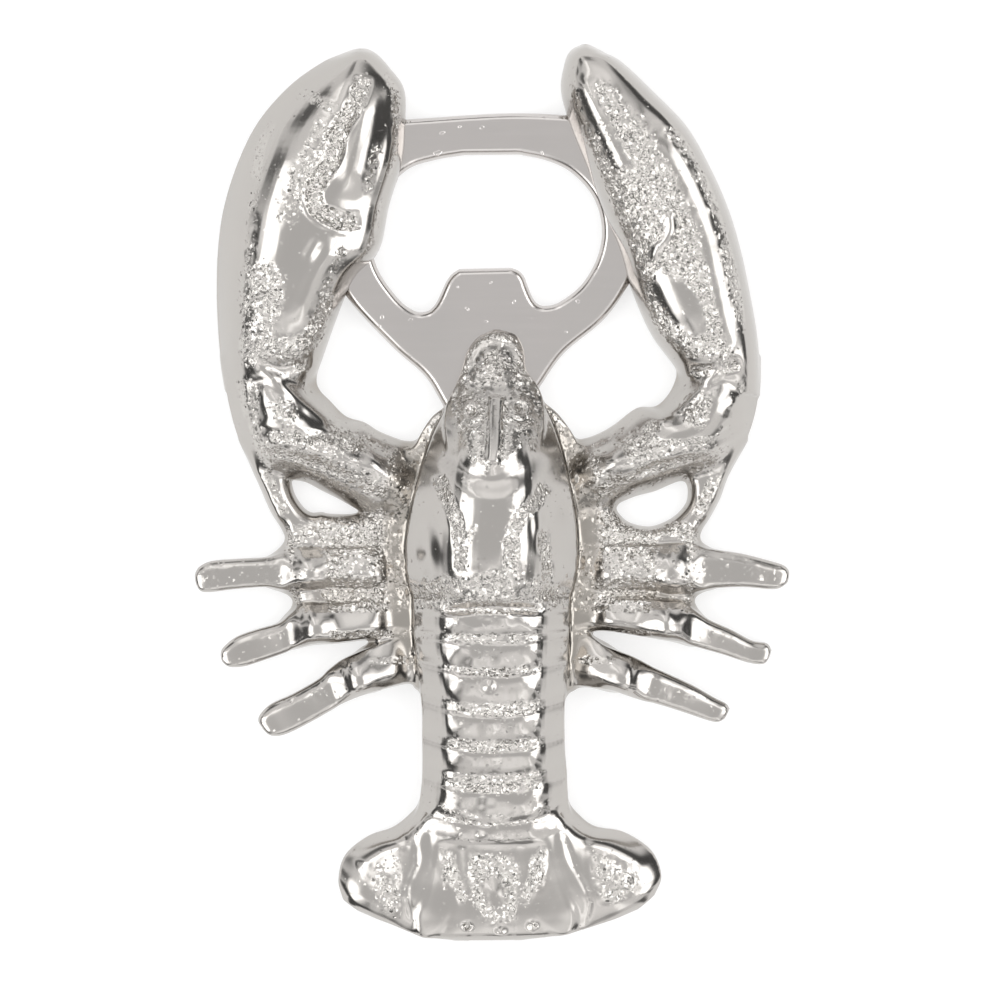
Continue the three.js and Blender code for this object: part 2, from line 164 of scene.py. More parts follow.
LEGS = [
    [rib + list(section) for ribs, section in zip(joints, JOINT_SECTIONS) for rib in ribs]
    for joints in LEG_JOINTS
]
SHELL = [
    [-7.4, 15.6, 8.6, 15.8, 11.5], [-8.7, 13.6, 10.0, 14.0, 13.4], [-10.4, 10.2, 11.4, 10.6, 16.0],
    [-12.0, 5.5, 12.8, 6, 18.4], [-13.6, 0, 14.2, 0, 19.6], [-14.8, -6, 15.1, -6, 20],
    [-15.3, -12, 15.3, -12, 19.6], [-14.4, -17.5, 14.4, -17.5, 18.2], [-11.6, -22.2, 12.0, -22.0, 15.6],
]
SKIRT = [
    [-8.4, 15.0, 9.2, 16.0, 6.4], [-11.0, 12.8, 12.2, 13.4, 6.2], [-14.0, 7.5, 15.6, 8.0, 5.8],
    [-16.2, 1.0, 16.6, 1.0, 5.4], [-17.4, -6, 17.6, -6, 5.2], [-17.8, -14, 17.8, -14, 5.2],
    [-17.0, -22, 17.0, -22, 5.2], [-15.6, -30, 15.6, -30, 5.2], [-13.4, -35, 13.6, -35.4, 5.0],
]
HEAD = [
    [-0.6, 28.8, 2.2, 28.9, 4.8], [-2.6, 27.4, 4.4, 27.9, 6.0], [-4.4, 24.8, 5.8, 25.0, 7.4],
    [-5.3, 21.6, 6.2, 21.6, 9.0], [-6.6, 18.4, 8.2, 18.9, 10.6], [-8.1, 15.4, 9.3, 15.8, 12.4],
    [-8.4, 11.0, 9.4, 11.0, 15.4], [-7.0, 6.0, 7.6, 6.4, 18.0], [-3.5, 3.4, 4.0, 3.6, 18.6],
]
ABDOMEN = [
    [-13.9, -19, 13.9, -19, 15.8], [-13.9, -25, 13.8, -25, 15.4], [-13.3, -31, 13.6, -31, 14.6],
    [-12.5, -38, 13.1, -38, 13.6], [-12.4, -45, 13.1, -45, 12.4], [-12.4, -51, 13.5, -51, 11.0],
    [-13.0, -57, 13.7, -57, 9.8], [-13.0, -62, 13.0, -62, 8.8],
]
TELSON = [
    [-9.5, -57, 9.5, -57, 8.6], [-9.6, -64, 10.0, -64, 8.4], [-10.6, -71, 12.0, -71, 7.5],
    [-12.6, -76, 14.2, -76, 7.1], [-12.0, -79.3, 12.8, -79.0, 6.5], [-6.5, -80.4, 5.5, -80.3, 5.0],
]
# The fins' edges, and the crown height, walls and power that each rib has on both sides.
FIN_EDGES = [
    [[-6, -60, -12.6, -56], [-6.5, -66, -17.2, -60.0], [-7.5, -73, -22.0, -61.8],
     [-11.5, -79.2, -26.2, -65.2], [-18.5, -77.3, -27.4, -69.6], [-23.8, -75.2, -26.6, -73.1]],
    [[6, -60, 13.6, -56], [6.5, -66, 18, -59.9], [7.5, -73, 23.6, -61.1], [12.5, -78.7, 28.6, -64.4],
     [20.5, -77.1, 30.4, -68.8], [26.2, -74.9, 29.2, -72.3]],
]
FIN_SECTIONS = [
    [8.2, 0.8, 0.25, 2.6], [8.0, 0.8, 0.25, 2.6], [7.6, 0.8, 0.3, 2.6], [7.0, 0.8, 0.45, 2.4],
    [6.4, 0.8, 0.66, 2.2], [5.2, 0.8, 0.8, 2.0],
]
TAIL_FINS = [[edges + section for edges, section in zip(fin, FIN_SECTIONS)] for fin in FIN_EDGES]

WEB_HEIGHT = 4.4
LEFT_WEB = [
    [-44.6, 9], [-43.2, 4.4], [-41.6, 0.8], [-39.6, -3.8], [-37.6, -7], [-37.2, -9.2], [-40, -12.6],
    [-40, -16.8], [-37.8, -18.0], [-35.9, -19.3], [-35.9, -21.0], [-37.8, -24.0], [-36, -28.0],
    [-32.8, -27.5], [-27.0, -27.1], [-22.6, -26.6], [-22.2, -27.4], [-24.0, -29.0], [-26, -34],
    [-22, -36.0], [-18.4, -35.0], [-14.6, -34.5], [-13.0, -35.9], [-8, -38], [-6, 4], [-16, 9], [-30, 12],
]
LEFT_WINDOW = [
    [-35.9, 2.0], [-32.9, 2.1], [-30.3, 0.4], [-27, -1.1], [-24.0, -2.9], [-23.3, -3.9], [-26, -4.2],
    [-29, -4.1], [-30.6, -3.8], [-32.2, -3.9], [-33.7, -2.9], [-35.2, -0.6],
]
RIGHT_WEB = [
    [45.6, 9], [43.8, 5.2], [42.2, 2.0], [41.0, -1.4], [39.2, -4.8], [37.7, -7.2], [37.6, -9.0],
    [40, -12.0], [40, -16.9], [38.0, -18.0], [36.5, -19.4], [36.9, -21.2], [38, -24.0], [36, -27.6],
    [32.0, -26.7], [26.0, -25.6], [19.8, -24.8], [17.9, -25.3], [18.3, -26.3], [21.4, -28.0], [24, -33],
    [22, -36.0], [18.0, -35.0], [15.8, -35.2], [14.1, -36.2], [8, -38], [6, 4], [16, 9], [30, 12],
]
RIGHT_WINDOW = [
    [22.6, -1.6], [26.0, -0.3], [29.0, 0.1], [31.0, 1.1], [33.0, 2.1], [34.5, 1.9], [35.1, 0.4],
    [35.0, -1.6], [34.2, -3.1], [32.4, -4.8], [30.0, -6.0], [28.0, -6.4], [26.0, -6.1], [24.2, -5.4],
    [22.8, -4.0], [22.2, -2.8],
]

# ---- Opener plate ----

PLATE_EDGE = (1.15, 1.9)  # how far in and how deep the shears have drawn its upper edge down
PLATE_FIT = 0.2
BAR_TOP = [[-22, 66], [-14, 66.5], [2, 67.5], [13, 67.2], [20, 66.2]]
PLATE_RIGHT = [[26.5, 60], [29, 52], [28.4, 44.5], [24.4, 36.6], [20, 30.5], [13, 24.6], [8.6, 18.5]]
PLATE_LEFT = [[-8.8, 15.5], [-12, 20.6], [-18, 26], [-26.4, 35.4], [-29.6, 44.5], [-29.8, 53], [-27.5, 61]]
STEM = [[7.5, 12], [7.5, -4], [6.6, -6.1], [4.5, -7], [-4.5, -7], [-6.6, -6.1], [-7.5, -4], [-7.5, 12]]
TOOTH = [[-8.2, 37.3], [-7.2, 38.7], [-5.8, 39.7], [3.6, 39.9], [5.0, 39.3], [5.9, 38.2]]
OPENING_RIGHT = [
    [6.5, 36.6], [7.3, 34.7], [8.2, 33.5], [9.6, 33.1], [12.2, 33.8], [16.2, 37.0], [19.0, 42.0],
    [19.7, 47.2], [18.2, 52.5], [14.4, 56.8], [10.0, 59.0], [5.0, 60.1],
]
OPENING_LEFT = [
    [-5.0, 60.0], [-10.2, 59.1], [-15.2, 57.3], [-19.6, 52.2], [-21.4, 45.5], [-20.4, 39.8], [-16.8, 34.5],
    [-13.8, 32.2], [-11.6, 32.1], [-10.2, 33.2], [-9.2, 35.0],
]

# ---- Curves and distances ----


def smooth_curve(points, steps=6):
    """A Catmull-Rom curve through the points, with so many steps from each point to the next."""
    p = np.asarray(points, float)
    if len(p) < 3:
        return p
    ends = np.vstack([2 * p[0] - p[1], p, 2 * p[-1] - p[-2]])
    t = np.linspace(0, 1, steps, endpoint=False)[:, None]
    spans = []
    for a, b, c, d in zip(ends, ends[1:], ends[2:], ends[3:]):
        square, cube = 2 * a - 5 * b + 4 * c - d, 3 * b - a - 3 * c + d
        spans.append(0.5 * (2 * b + (c - a) * t + square * t**2 + cube * t**3))
    return np.vstack(spans + [p[-1:]])


def to_segments(x, y, line):
    """Distance from each place to an open line, and how far along it the nearest point is."""
    best = np.full(x.shape, 1e9)
    along = np.zeros(x.shape)
    lengths = np.hypot(*np.diff(line, axis=0).T)
    total = max(lengths.sum(), 1e-9)
    done = 0.0
    for (ax, ay), (bx, by), length in zip(line, line[1:], lengths):
        if length < 1e-9:
            continue
        ux, uy = (bx - ax) / length, (by - ay) / length
        t = np.clip((x - ax) * ux + (y - ay) * uy, 0, length)
        d = np.hypot(x - ax - t * ux, y - ay - t * uy)
        near = d < best
        best[near] = d[near]
        along[near] = (done + t[near]) / total
        done += length
    return best, along


def inside_of(x, y, outline):
    """Whether each place is inside a closed outline."""
    crossed = np.zeros(x.shape, bool)
    for (ax, ay), (bx, by) in zip(outline, np.roll(outline, -1, axis=0)):
        if ay == by:
            continue
        spans = (ay > y) != (by > y)
        crossed ^= spans & (x < (bx - ax) * (y - ay) / (by - ay) + ax)
    return crossed


def outline_distance(x, y, outline):
    """Signed distance to a closed outline, negative inside."""
    closed = np.vstack([outline, outline[:1]])
    d = to_segments(x, y, closed)[0]
    return np.where(inside_of(x, y, outline), -d, d)


def ease(value):
    """From 0 to 1, starting and ending gently."""
    value = np.clip(value, 0, 1)
    return value * value * (3 - 2 * value)


def between_cells(image, i, j):
    """The image's values at places given in cells and parts of cells."""
    i0, j0 = i.astype(int), j.astype(int)
    u, v = i - i0, j - j0
    near = image[i0, j0] * (1 - u) + image[i0 + 1, j0] * u
    far = image[i0, j0 + 1] * (1 - u) + image[i0 + 1, j0 + 1] * u
    return near * (1 - v) + far * v


def blur(image, cells):
    """Three box blurs, which come close to a round one of that radius in cells."""
    for _ in range(3):
        for axis in (0, 1):
            n = max(1, int(round(cells)))
            pad = [(n, n) if a == axis else (0, 0) for a in (0, 1)]
            total = np.cumsum(np.pad(image, pad, mode="edge"), axis=axis)
            total = np.concatenate([np.zeros_like(np.take(total, [0], axis)), total], axis)
            size = image.shape[axis]
            upper = np.take(total, range(2 * n, 2 * n + size), axis)
            lower = np.take(total, range(0, size), axis)
            image = (upper - lower) / (2 * n)
    return image


# ---- Field of distances ----


def loft(ribs, wall=0.3, shoulder=(0.0, 0.0), reach=(3.0, 3.0), power=2.6, lean=0.0, steepest=9.0, steps=6,
         around=34):
    """Closed surface of a rounded body.

    Its side goes straight up for the share wall of its height, then round a shoulder that rises by the
    given share within the given reach, and then over a dome of the given power. Pairs hold one value for
    edge a and one for edge b; lean moves the crest towards edge b; the dome gets no steeper than the slope
    steepest. A rib's own walls and power go before the body's.
    """
    wall_a, wall_b = wall if isinstance(wall, tuple) else (wall, wall)
    ribs = smooth_curve(ribs, steps)
    s = -np.cos(np.linspace(0, np.pi, around))
    u = np.where(s < lean, (s - lean) / (1 + lean), (s - lean) / (1 - lean))
    rings = []
    for ax, ay, bx, by, crown, *own in ribs:
        walls = (own[0], own[-2]) if own else (wall_a, wall_b)
        share = np.where(u < 0, walls[0], walls[1]) * np.abs(u) + (1 - np.abs(u)) * sum(walls) / 2
        round_share = np.where(u < 0, shoulder[0], shoulder[1])
        half = max(math.hypot(bx - ax, by - ay) / 2, 0.1)
        turn = np.clip((1 - np.abs(s)) * half / np.where(u < 0, reach[0], reach[1]), 0, 1)
        corner = np.sqrt(1 - (1 - turn) ** 2)
        bend = own[-1] if own else power
        rise = np.maximum(crown * (1 - share - round_share), 0.01)
        knee = np.minimum((steepest * half / (rise * bend)) ** (1 / (bend - 1)), 1)
        curved = np.minimum(np.abs(u), knee)
        fall = rise * curved**bend + steepest * half * (np.abs(u) - curved)
        z = crown * (1 - round_share * (1 - corner)) - fall
        across = (s + 1) / 2
        ring = np.stack([ax + (bx - ax) * across, ay + (by - ay) * across, z], axis=1)
        rings.append(np.vstack([[ax, ay, FIELD_LOW[2]], ring, [bx, by, FIELD_LOW[2]]]))
    size = around + 2
    points = np.vstack(rings)
    quads = []
    for i in range(len(rings) - 1):
        for j in range(size):
            k = (j + 1) % size
            quads.append((i * size + j, i * size + k, (i + 1) * size + k, (i + 1) * size + j))
    last = (len(rings) - 1) * size
    caps = [(0, j + 1, j) for j in range(1, size - 1)]
    caps += [(last, last + j, last + j + 1) for j in range(1, size - 1)]
    return points, np.array(caps, np.uint32), np.array(quads, np.uint32)


def distances(points, triangles, quads):
    """Distances to a closed surface on the part of the field round it, with where that part starts."""
    grid = openvdb.FloatGrid.createLevelSetFromPolygons(
        points.astype(np.float32),
        triangles=triangles,
        quads=quads,
        transform=openvdb.createLinearTransform(voxelSize=VOXEL),
        halfWidth=BAND,
    )
    first = np.maximum(np.floor(points.min(0) / VOXEL).astype(int) - BAND, FIELD_FIRST)
    last = np.minimum(np.ceil(points.max(0) / VOXEL).astype(int) + BAND, FIELD_LAST)
    values = np.empty(tuple(last - first + 1), np.float32)
    grid.copyToArray(values, ijk=tuple(int(v) for v in first))
    return values, first


def melt(field, values, first, softness):
    """Joins a body to the field, with a fillet of about that size."""
    at = first - FIELD_FIRST
    part = field[tuple(slice(a, a + n) for a, n in zip(at, values.shape))]
    overlap = np.maximum(softness - np.abs(part - values), 0) / softness
    part[...] = np.minimum(part, values) - overlap * overlap * softness / 4


def field_axis(axis):
    return np.arange(FIELD_FIRST[axis], FIELD_LAST[axis] + 1) * VOXEL


FIELD_X, FIELD_Y, FIELD_Z = field_axis(0), field_axis(1), field_axis(2)
PLAN_X, PLAN_Y = np.meshgrid(FIELD_X, FIELD_Y, indexing="ij")


def plate_outline():
    """The plate's outline and its opening."""
    right = smooth_curve(BAR_TOP + PLATE_RIGHT, 8)
    left = smooth_curve(PLATE_LEFT + BAR_TOP[:1], 8)
    opening = np.vstack([smooth_curve(TOOTH[:3], 4), smooth_curve(TOOTH[3:] + OPENING_RIGHT, 6),
                         smooth_curve(OPENING_LEFT, 6)])
    return np.vstack([right, STEM, left[:-1]]), opening


def plate_plan():
    """Signed distance to the plate's outline, seen from above."""
    outline, opening = plate_outline()
    return np.maximum(outline_distance(PLAN_X, PLAN_Y, outline), -outline_distance(PLAN_X, PLAN_Y, opening))


SHARP_EDGE = (0.3, 0.3)


def slab(plan, bottom, top, over, under=SHARP_EDGE):
    """A flat body of a given plan. over and under are how far in and how deep its edges are rounded."""
    rims = []
    for (inward, deep), level in ((over, FIELD_Z - top), (under, bottom - FIELD_Z)):
        q1 = (plan[:, :, None] + inward) / inward
        q2 = (level[None, None, :] + deep) / deep
        edge = np.minimum(np.maximum(q1, q2), 0) + np.hypot(np.maximum(q1, 0), np.maximum(q2, 0)) - 1
        rims.append(edge * min(inward, deep))
    return np.maximum(*rims)


def web_field(outline, window):
    """The flat web of metal between an arm and its legs, with the window left open in it."""
    outline = smooth_curve(outline + outline[:1], 4)[:-1]
    window = smooth_curve(window + window[:1], 4)[:-1]
    plan = np.maximum(outline_distance(PLAN_X, PLAN_Y, outline), -outline_distance(PLAN_X, PLAN_Y, window))
    return slab(plan, FIELD_LOW[2], WEB_HEIGHT, WEB_EDGE).astype(np.float32)


def mesh_of(field):
    """The field's surface as vertices and faces."""
    grid = openvdb.FloatGrid(FAR)
    grid.copyFromArray(np.clip(field, -FAR, FAR).astype(np.float32), ijk=tuple(int(v) for v in FIELD_FIRST))
    grid.transform = openvdb.createLinearTransform(voxelSize=VOXEL)
    points, triangles, quads = grid.convertToPolygons(isovalue=0.0, adaptivity=0.0)
    return points.astype(float), triangles, quads


def edge_pairs(triangles, quads):
    pairs = []
    for faces in (triangles, quads):
        if len(faces):
            pairs.append(np.stack([faces, np.roll(faces, -1, axis=1)], axis=2).reshape(-1, 2))
    pairs = np.sort(np.vstack(pairs).astype(np.int64), axis=1)
    return np.unique(pairs, axis=0)


def relax(points, pairs, rounds):
    """Evens out the voxels' traces: each point moves towards its neighbours, then back by a little less."""
    count = len(points)
    a, b = pairs[:, 0], pairs[:, 1]
    degree = np.bincount(a, minlength=count) + np.bincount(b, minlength=count)
    degree = np.maximum(degree, 1)[:, None]
    for _ in range(rounds):
        for strength in (0.6, -0.61):
            total = np.empty_like(points)
            for axis in range(3):
                total[:, axis] = np.bincount(a, points[b, axis], count)
                total[:, axis] += np.bincount(b, points[a, axis], count)
            points = points + strength * (total / degree - points)
    return points


# ---- Casting's body ----


WEB_SOFTNESS = 1.0
WEB_EDGE = (2.4, 3.6)
BACK_EDGE = 0.6  # radius of the edge round the flat back
ARM_SECTION = dict(wall=0.25, power=2.2)
HEAD_SECTION = dict(wall=0.76, power=2.0)
# Each body: its ribs, how softly it melts into the others in mm, and its section.
BODIES = [
    (SKIRT, 1.2, dict(wall=0.75, power=2.4)),
    (LEFT_ARM, 1.6, ARM_SECTION),
    (RIGHT_ARM, 1.6, ARM_SECTION),
    *[(leg, 1.3, dict(lean=0.4)) for leg in LEGS],
    (ABDOMEN, 0.8, dict(wall=0.2, power=5.4, steepest=1.05)),
    (SHELL, 0.8, dict(wall=0.2, power=3.0, steepest=1.05)),
    *[(fin, 1.2, {}) for fin in TAIL_FINS],
    (TELSON, 2.2, dict(wall=0.88, power=2.2)),
    (LEFT_CLAW, 1.0, dict(wall=(0.1, 0.33), shoulder=(0.0, 0.38), reach=(3.0, 3.2), power=2.9)),
    (RIGHT_CLAW, 1.0, dict(wall=(0.33, 0.25), shoulder=(0.3, 0.45), reach=(2.6, 3.0), power=2.9)),
]
HEAD_SOFTNESS = 0.6


def casting_field(plate):
    """The whole casting: webs and bodies melted together, the plate's room cut out, and a flat back."""
    field = np.full(FIELD_SHAPE, FAR, np.float32)
    for outline, window in ((LEFT_WEB, LEFT_WINDOW), (RIGHT_WEB, RIGHT_WINDOW)):
        melt(field, web_field(outline, window), FIELD_FIRST, WEB_SOFTNESS)
    for ribs, softness, section in BODIES:
        melt(field, *distances(*loft(ribs, **section)), softness)
    head, first = distances(*loft(HEAD, **HEAD_SECTION))
    levels = (np.arange(head.shape[2]) + first[2]) * VOXEL
    head = np.maximum(head, (PLATE_TOP + PLATE_FIT - levels)[None, None, :])
    melt(field, head.astype(np.float32), first, HEAD_SOFTNESS)
    room = slab(plate - PLATE_FIT, PLATE_BOTTOM - PLATE_FIT, PLATE_TOP + PLATE_FIT, SHARP_EDGE)
    field = np.maximum(field, -room)
    back = -FIELD_Z[None, None, :]
    rounding = np.maximum(BACK_EDGE - np.abs(field - back), 0) ** 2 / (4 * BACK_EDGE)
    return np.maximum(field, back) + rounding


def height_of(field):
    """Height of the field's topmost surface at each place, and 0 where nothing is."""
    inside = field < 0
    top = inside.shape[2] - 1 - np.argmax(inside[:, :, ::-1], axis=2)
    any_inside = inside.any(axis=2)
    rows, cols = np.indices(top.shape)
    above = np.minimum(top + 1, field.shape[2] - 1)
    lo, hi = field[rows, cols, top], field[rows, cols, above]
    share = np.clip(-lo / np.maximum(hi - lo, 1e-6), 0, 1)
    return np.where(any_inside, (top + share + FIELD_FIRST[2]) * VOXEL, 0.0)


# ---- Relief ----

CELL = 0.2
RELIEF_X = np.arange(-55, 55 + CELL, CELL)
RELIEF_Y = np.arange(-82, 82 + CELL, CELL)
GX, GY = np.meshgrid(RELIEF_X, RELIEF_Y, indexing="ij")
LIFT = np.zeros(GX.shape)  # how far the skin is raised, in mm
GRAIN = np.zeros(GX.shape)  # 1 where the cast grain is left, 0 where it is polished away
HOLLOW_SHADE_PAINT = np.zeros(GX.shape)  # painted shade: 1 deep in the hollows, where the colour is darkened and browned to stand for shade
RNG = np.random.default_rng(7)


def window_on(points, reach):
    """The part of the relief near some points."""
    p = np.asarray(points, float)
    i0, i1 = np.searchsorted(RELIEF_X, [p[:, 0].min() - reach, p[:, 0].max() + reach])
    j0, j1 = np.searchsorted(RELIEF_Y, [p[:, 1].min() - reach, p[:, 1].max() + reach])
    return slice(max(i0, 0), i1), slice(max(j0, 0), j1)


def stroke(points, width, lift=0.0, grain=None, taper=0.2, flat=0.0, painted_shade=None):
    """A raised or sunken line that fades over its taper at both ends.

    Flat is the share of its width that stays level.
    """
    w = window_on(points, width)
    d, along = to_segments(GX[w], GY[w], smooth_curve(points))
    shape = ease((1 - d / width) / (1 - flat))
    ends = ease(np.minimum(along, 1 - along) / taper) if taper else 1.0
    LIFT[w] += lift * shape * ends
    if grain is not None:
        mask = ease(1.6 * shape) * (ends if taper else 1.0)
        GRAIN[w] += (grain - GRAIN[w]) * mask
    # Painted shade along the line: darkens and browns the colour there.
    if painted_shade is not None:
        HOLLOW_SHADE_PAINT[w] = np.maximum(HOLLOW_SHADE_PAINT[w], painted_shade * shape * ends)


def patch(points, grain=None, lift=0.0, soft=1.0):
    """Grains, polishes or raises a region with a soft edge."""
    w = window_on(points, 2 * soft)
    outline = smooth_curve(list(points) + [points[0]], 5)[:-1]
    mask = ease(0.5 - outline_distance(GX[w], GY[w], outline) / (2 * soft))
    LIFT[w] += lift * mask
    if grain is not None:
        GRAIN[w] += (grain - GRAIN[w]) * mask


def on_side(side, points):
    """Points of the right-hand half, or for side -1 the same points on the left."""
    return [[side * x, y] for x, y in points]


def mound(x, y, rx, ry, lift, turn=0.0, grain=None):
    """An oval swelling or pit."""
    w = window_on([[x, y]], max(rx, ry))
    c, s = math.cos(math.radians(turn)), math.sin(math.radians(turn))
    dx, dy = GX[w] - x, GY[w] - y
    r = np.hypot((dx * c + dy * s) / rx, (dy * c - dx * s) / ry)
    LIFT[w] += lift * ease(1 - r)
    if grain is not None:
        GRAIN[w] += (grain - GRAIN[w]) * ease(1.5 * (1 - r))


def noise(scale):
    """Smooth seeded noise with features of about that size in mm, between about -1 and 1."""
    shape = tuple(int(math.ceil(n * CELL / scale)) + 4 for n in GX.shape)
    coarse = RNG.standard_normal(shape)
    i = (GX - RELIEF_X[0]) / scale + 1
    j = (GY - RELIEF_Y[0]) / scale + 1
    i0, j0 = i.astype(int), j.astype(int)
    return between_cells(coarse, i0 + ease(i - i0), j0 + ease(j - j0))


# Each ring of the tail: where its front and rear edges cross the middle, and how much it swells.
TAIL_RINGS = [
    (-21.4, -25.4, 0.75), (-26.6, -31.6, 0.6), (-32.4, -37.9, 0.75), (-39.6, -44.6, 0.8),
    (-46.2, -50.6, 0.6), (-53.4, -58.8, 0.55), (-59.4, -62.6, 0.3),
]
RING_SAG = 2.2  # how far a ring's middle lies behind its ends
SAG_FROM, SAG_OVER = -22, 12  # the first rings are straight
TAIL_MIDDLE, TAIL_HALF = 0.3, 13.2


def tail_rings():
    """Swells each ring and leaves cast grain in the joints between them."""
    off = np.abs(GX - TAIL_MIDDLE)
    across = np.clip(off / TAIL_HALF, 0, 1)
    sag = RING_SAG * ease((SAG_FROM - GY) / SAG_OVER)
    along = GY - sag * across**2
    sides = ease((TAIL_HALF + 1.2 - off) / 2.0)
    inner = ease((10.0 - off) / 3.0)
    tail = (along < TAIL_RINGS[0][0] + 0.5) & (along > TAIL_RINGS[-1][1]) & (off < TAIL_HALF + 1)
    GRAIN[...] = np.where(tail, 0.75 * inner, GRAIN)
    for front, back, swell in TAIL_RINGS:
        middle, reach = (front + back) / 2, (front - back) / 2
        u = np.clip((along - middle) / reach, -1, 1)
        shape = 1 - np.where(u > 0, u**4, u * u)
        LIFT[...] += (0.85 - 0.1 * (1 - inner)) * swell * shape * sides
        polished = ease((0.95 - np.abs(u)) / 0.2) * (np.abs(along - middle) < reach)
        GRAIN[...] += (np.minimum(GRAIN, 0.1 * inner) - GRAIN) * polished
    LIFT[...] += np.where(tail, 0.1 * noise(2.6) * inner, 0)


HOLLOW_REACH = 2.4  # mm over which a place is compared with what is round it
HOLLOW_GRAIN = 0.55
# how strongly the deepest hollows are darkened with painted shade
PAINTED_SHADE_STRENGTH = 0.8
WOBBLE = [(0.05, 6.0), (0.02, 3.0)]
COARSE = [(0.05, 2.0), (0.08, 1.2), (0.05, 0.8)]
SPREAD = [(0.2, 4.0), (0.14, 1.6)]


def layered(layers):
    """Noise in layers, each with its strength and the size of its features in mm."""
    return sum(strength * noise(scale) for strength, scale in layers)


def relief(height):
    """Draws the whole relief over the casting's plain height."""
    hollow = blur(height, HOLLOW_REACH / CELL) - height
    GRAIN[...] = HOLLOW_GRAIN * ease(hollow / 0.6)
    # Painted shade: the deeper a place lies below what is round it, the darker and browner its colour.
    HOLLOW_SHADE_PAINT[...] = PAINTED_SHADE_STRENGTH * ease((hollow - 0.25) / 1.9)

    claws_relief()
    arms_relief()
    legs_relief()
    shell_relief()
    head_relief()
    tail_rings()
    abdomen_relief()
    tail_relief()
    flash_lumps()

    wobble, coarse, spread = layered(WOBBLE), layered(COARSE), layered(SPREAD)
    GRAIN[...] = np.clip(GRAIN + spread * GRAIN * (1.6 - GRAIN), 0, 1)
    LIFT[...] += wobble + coarse * GRAIN


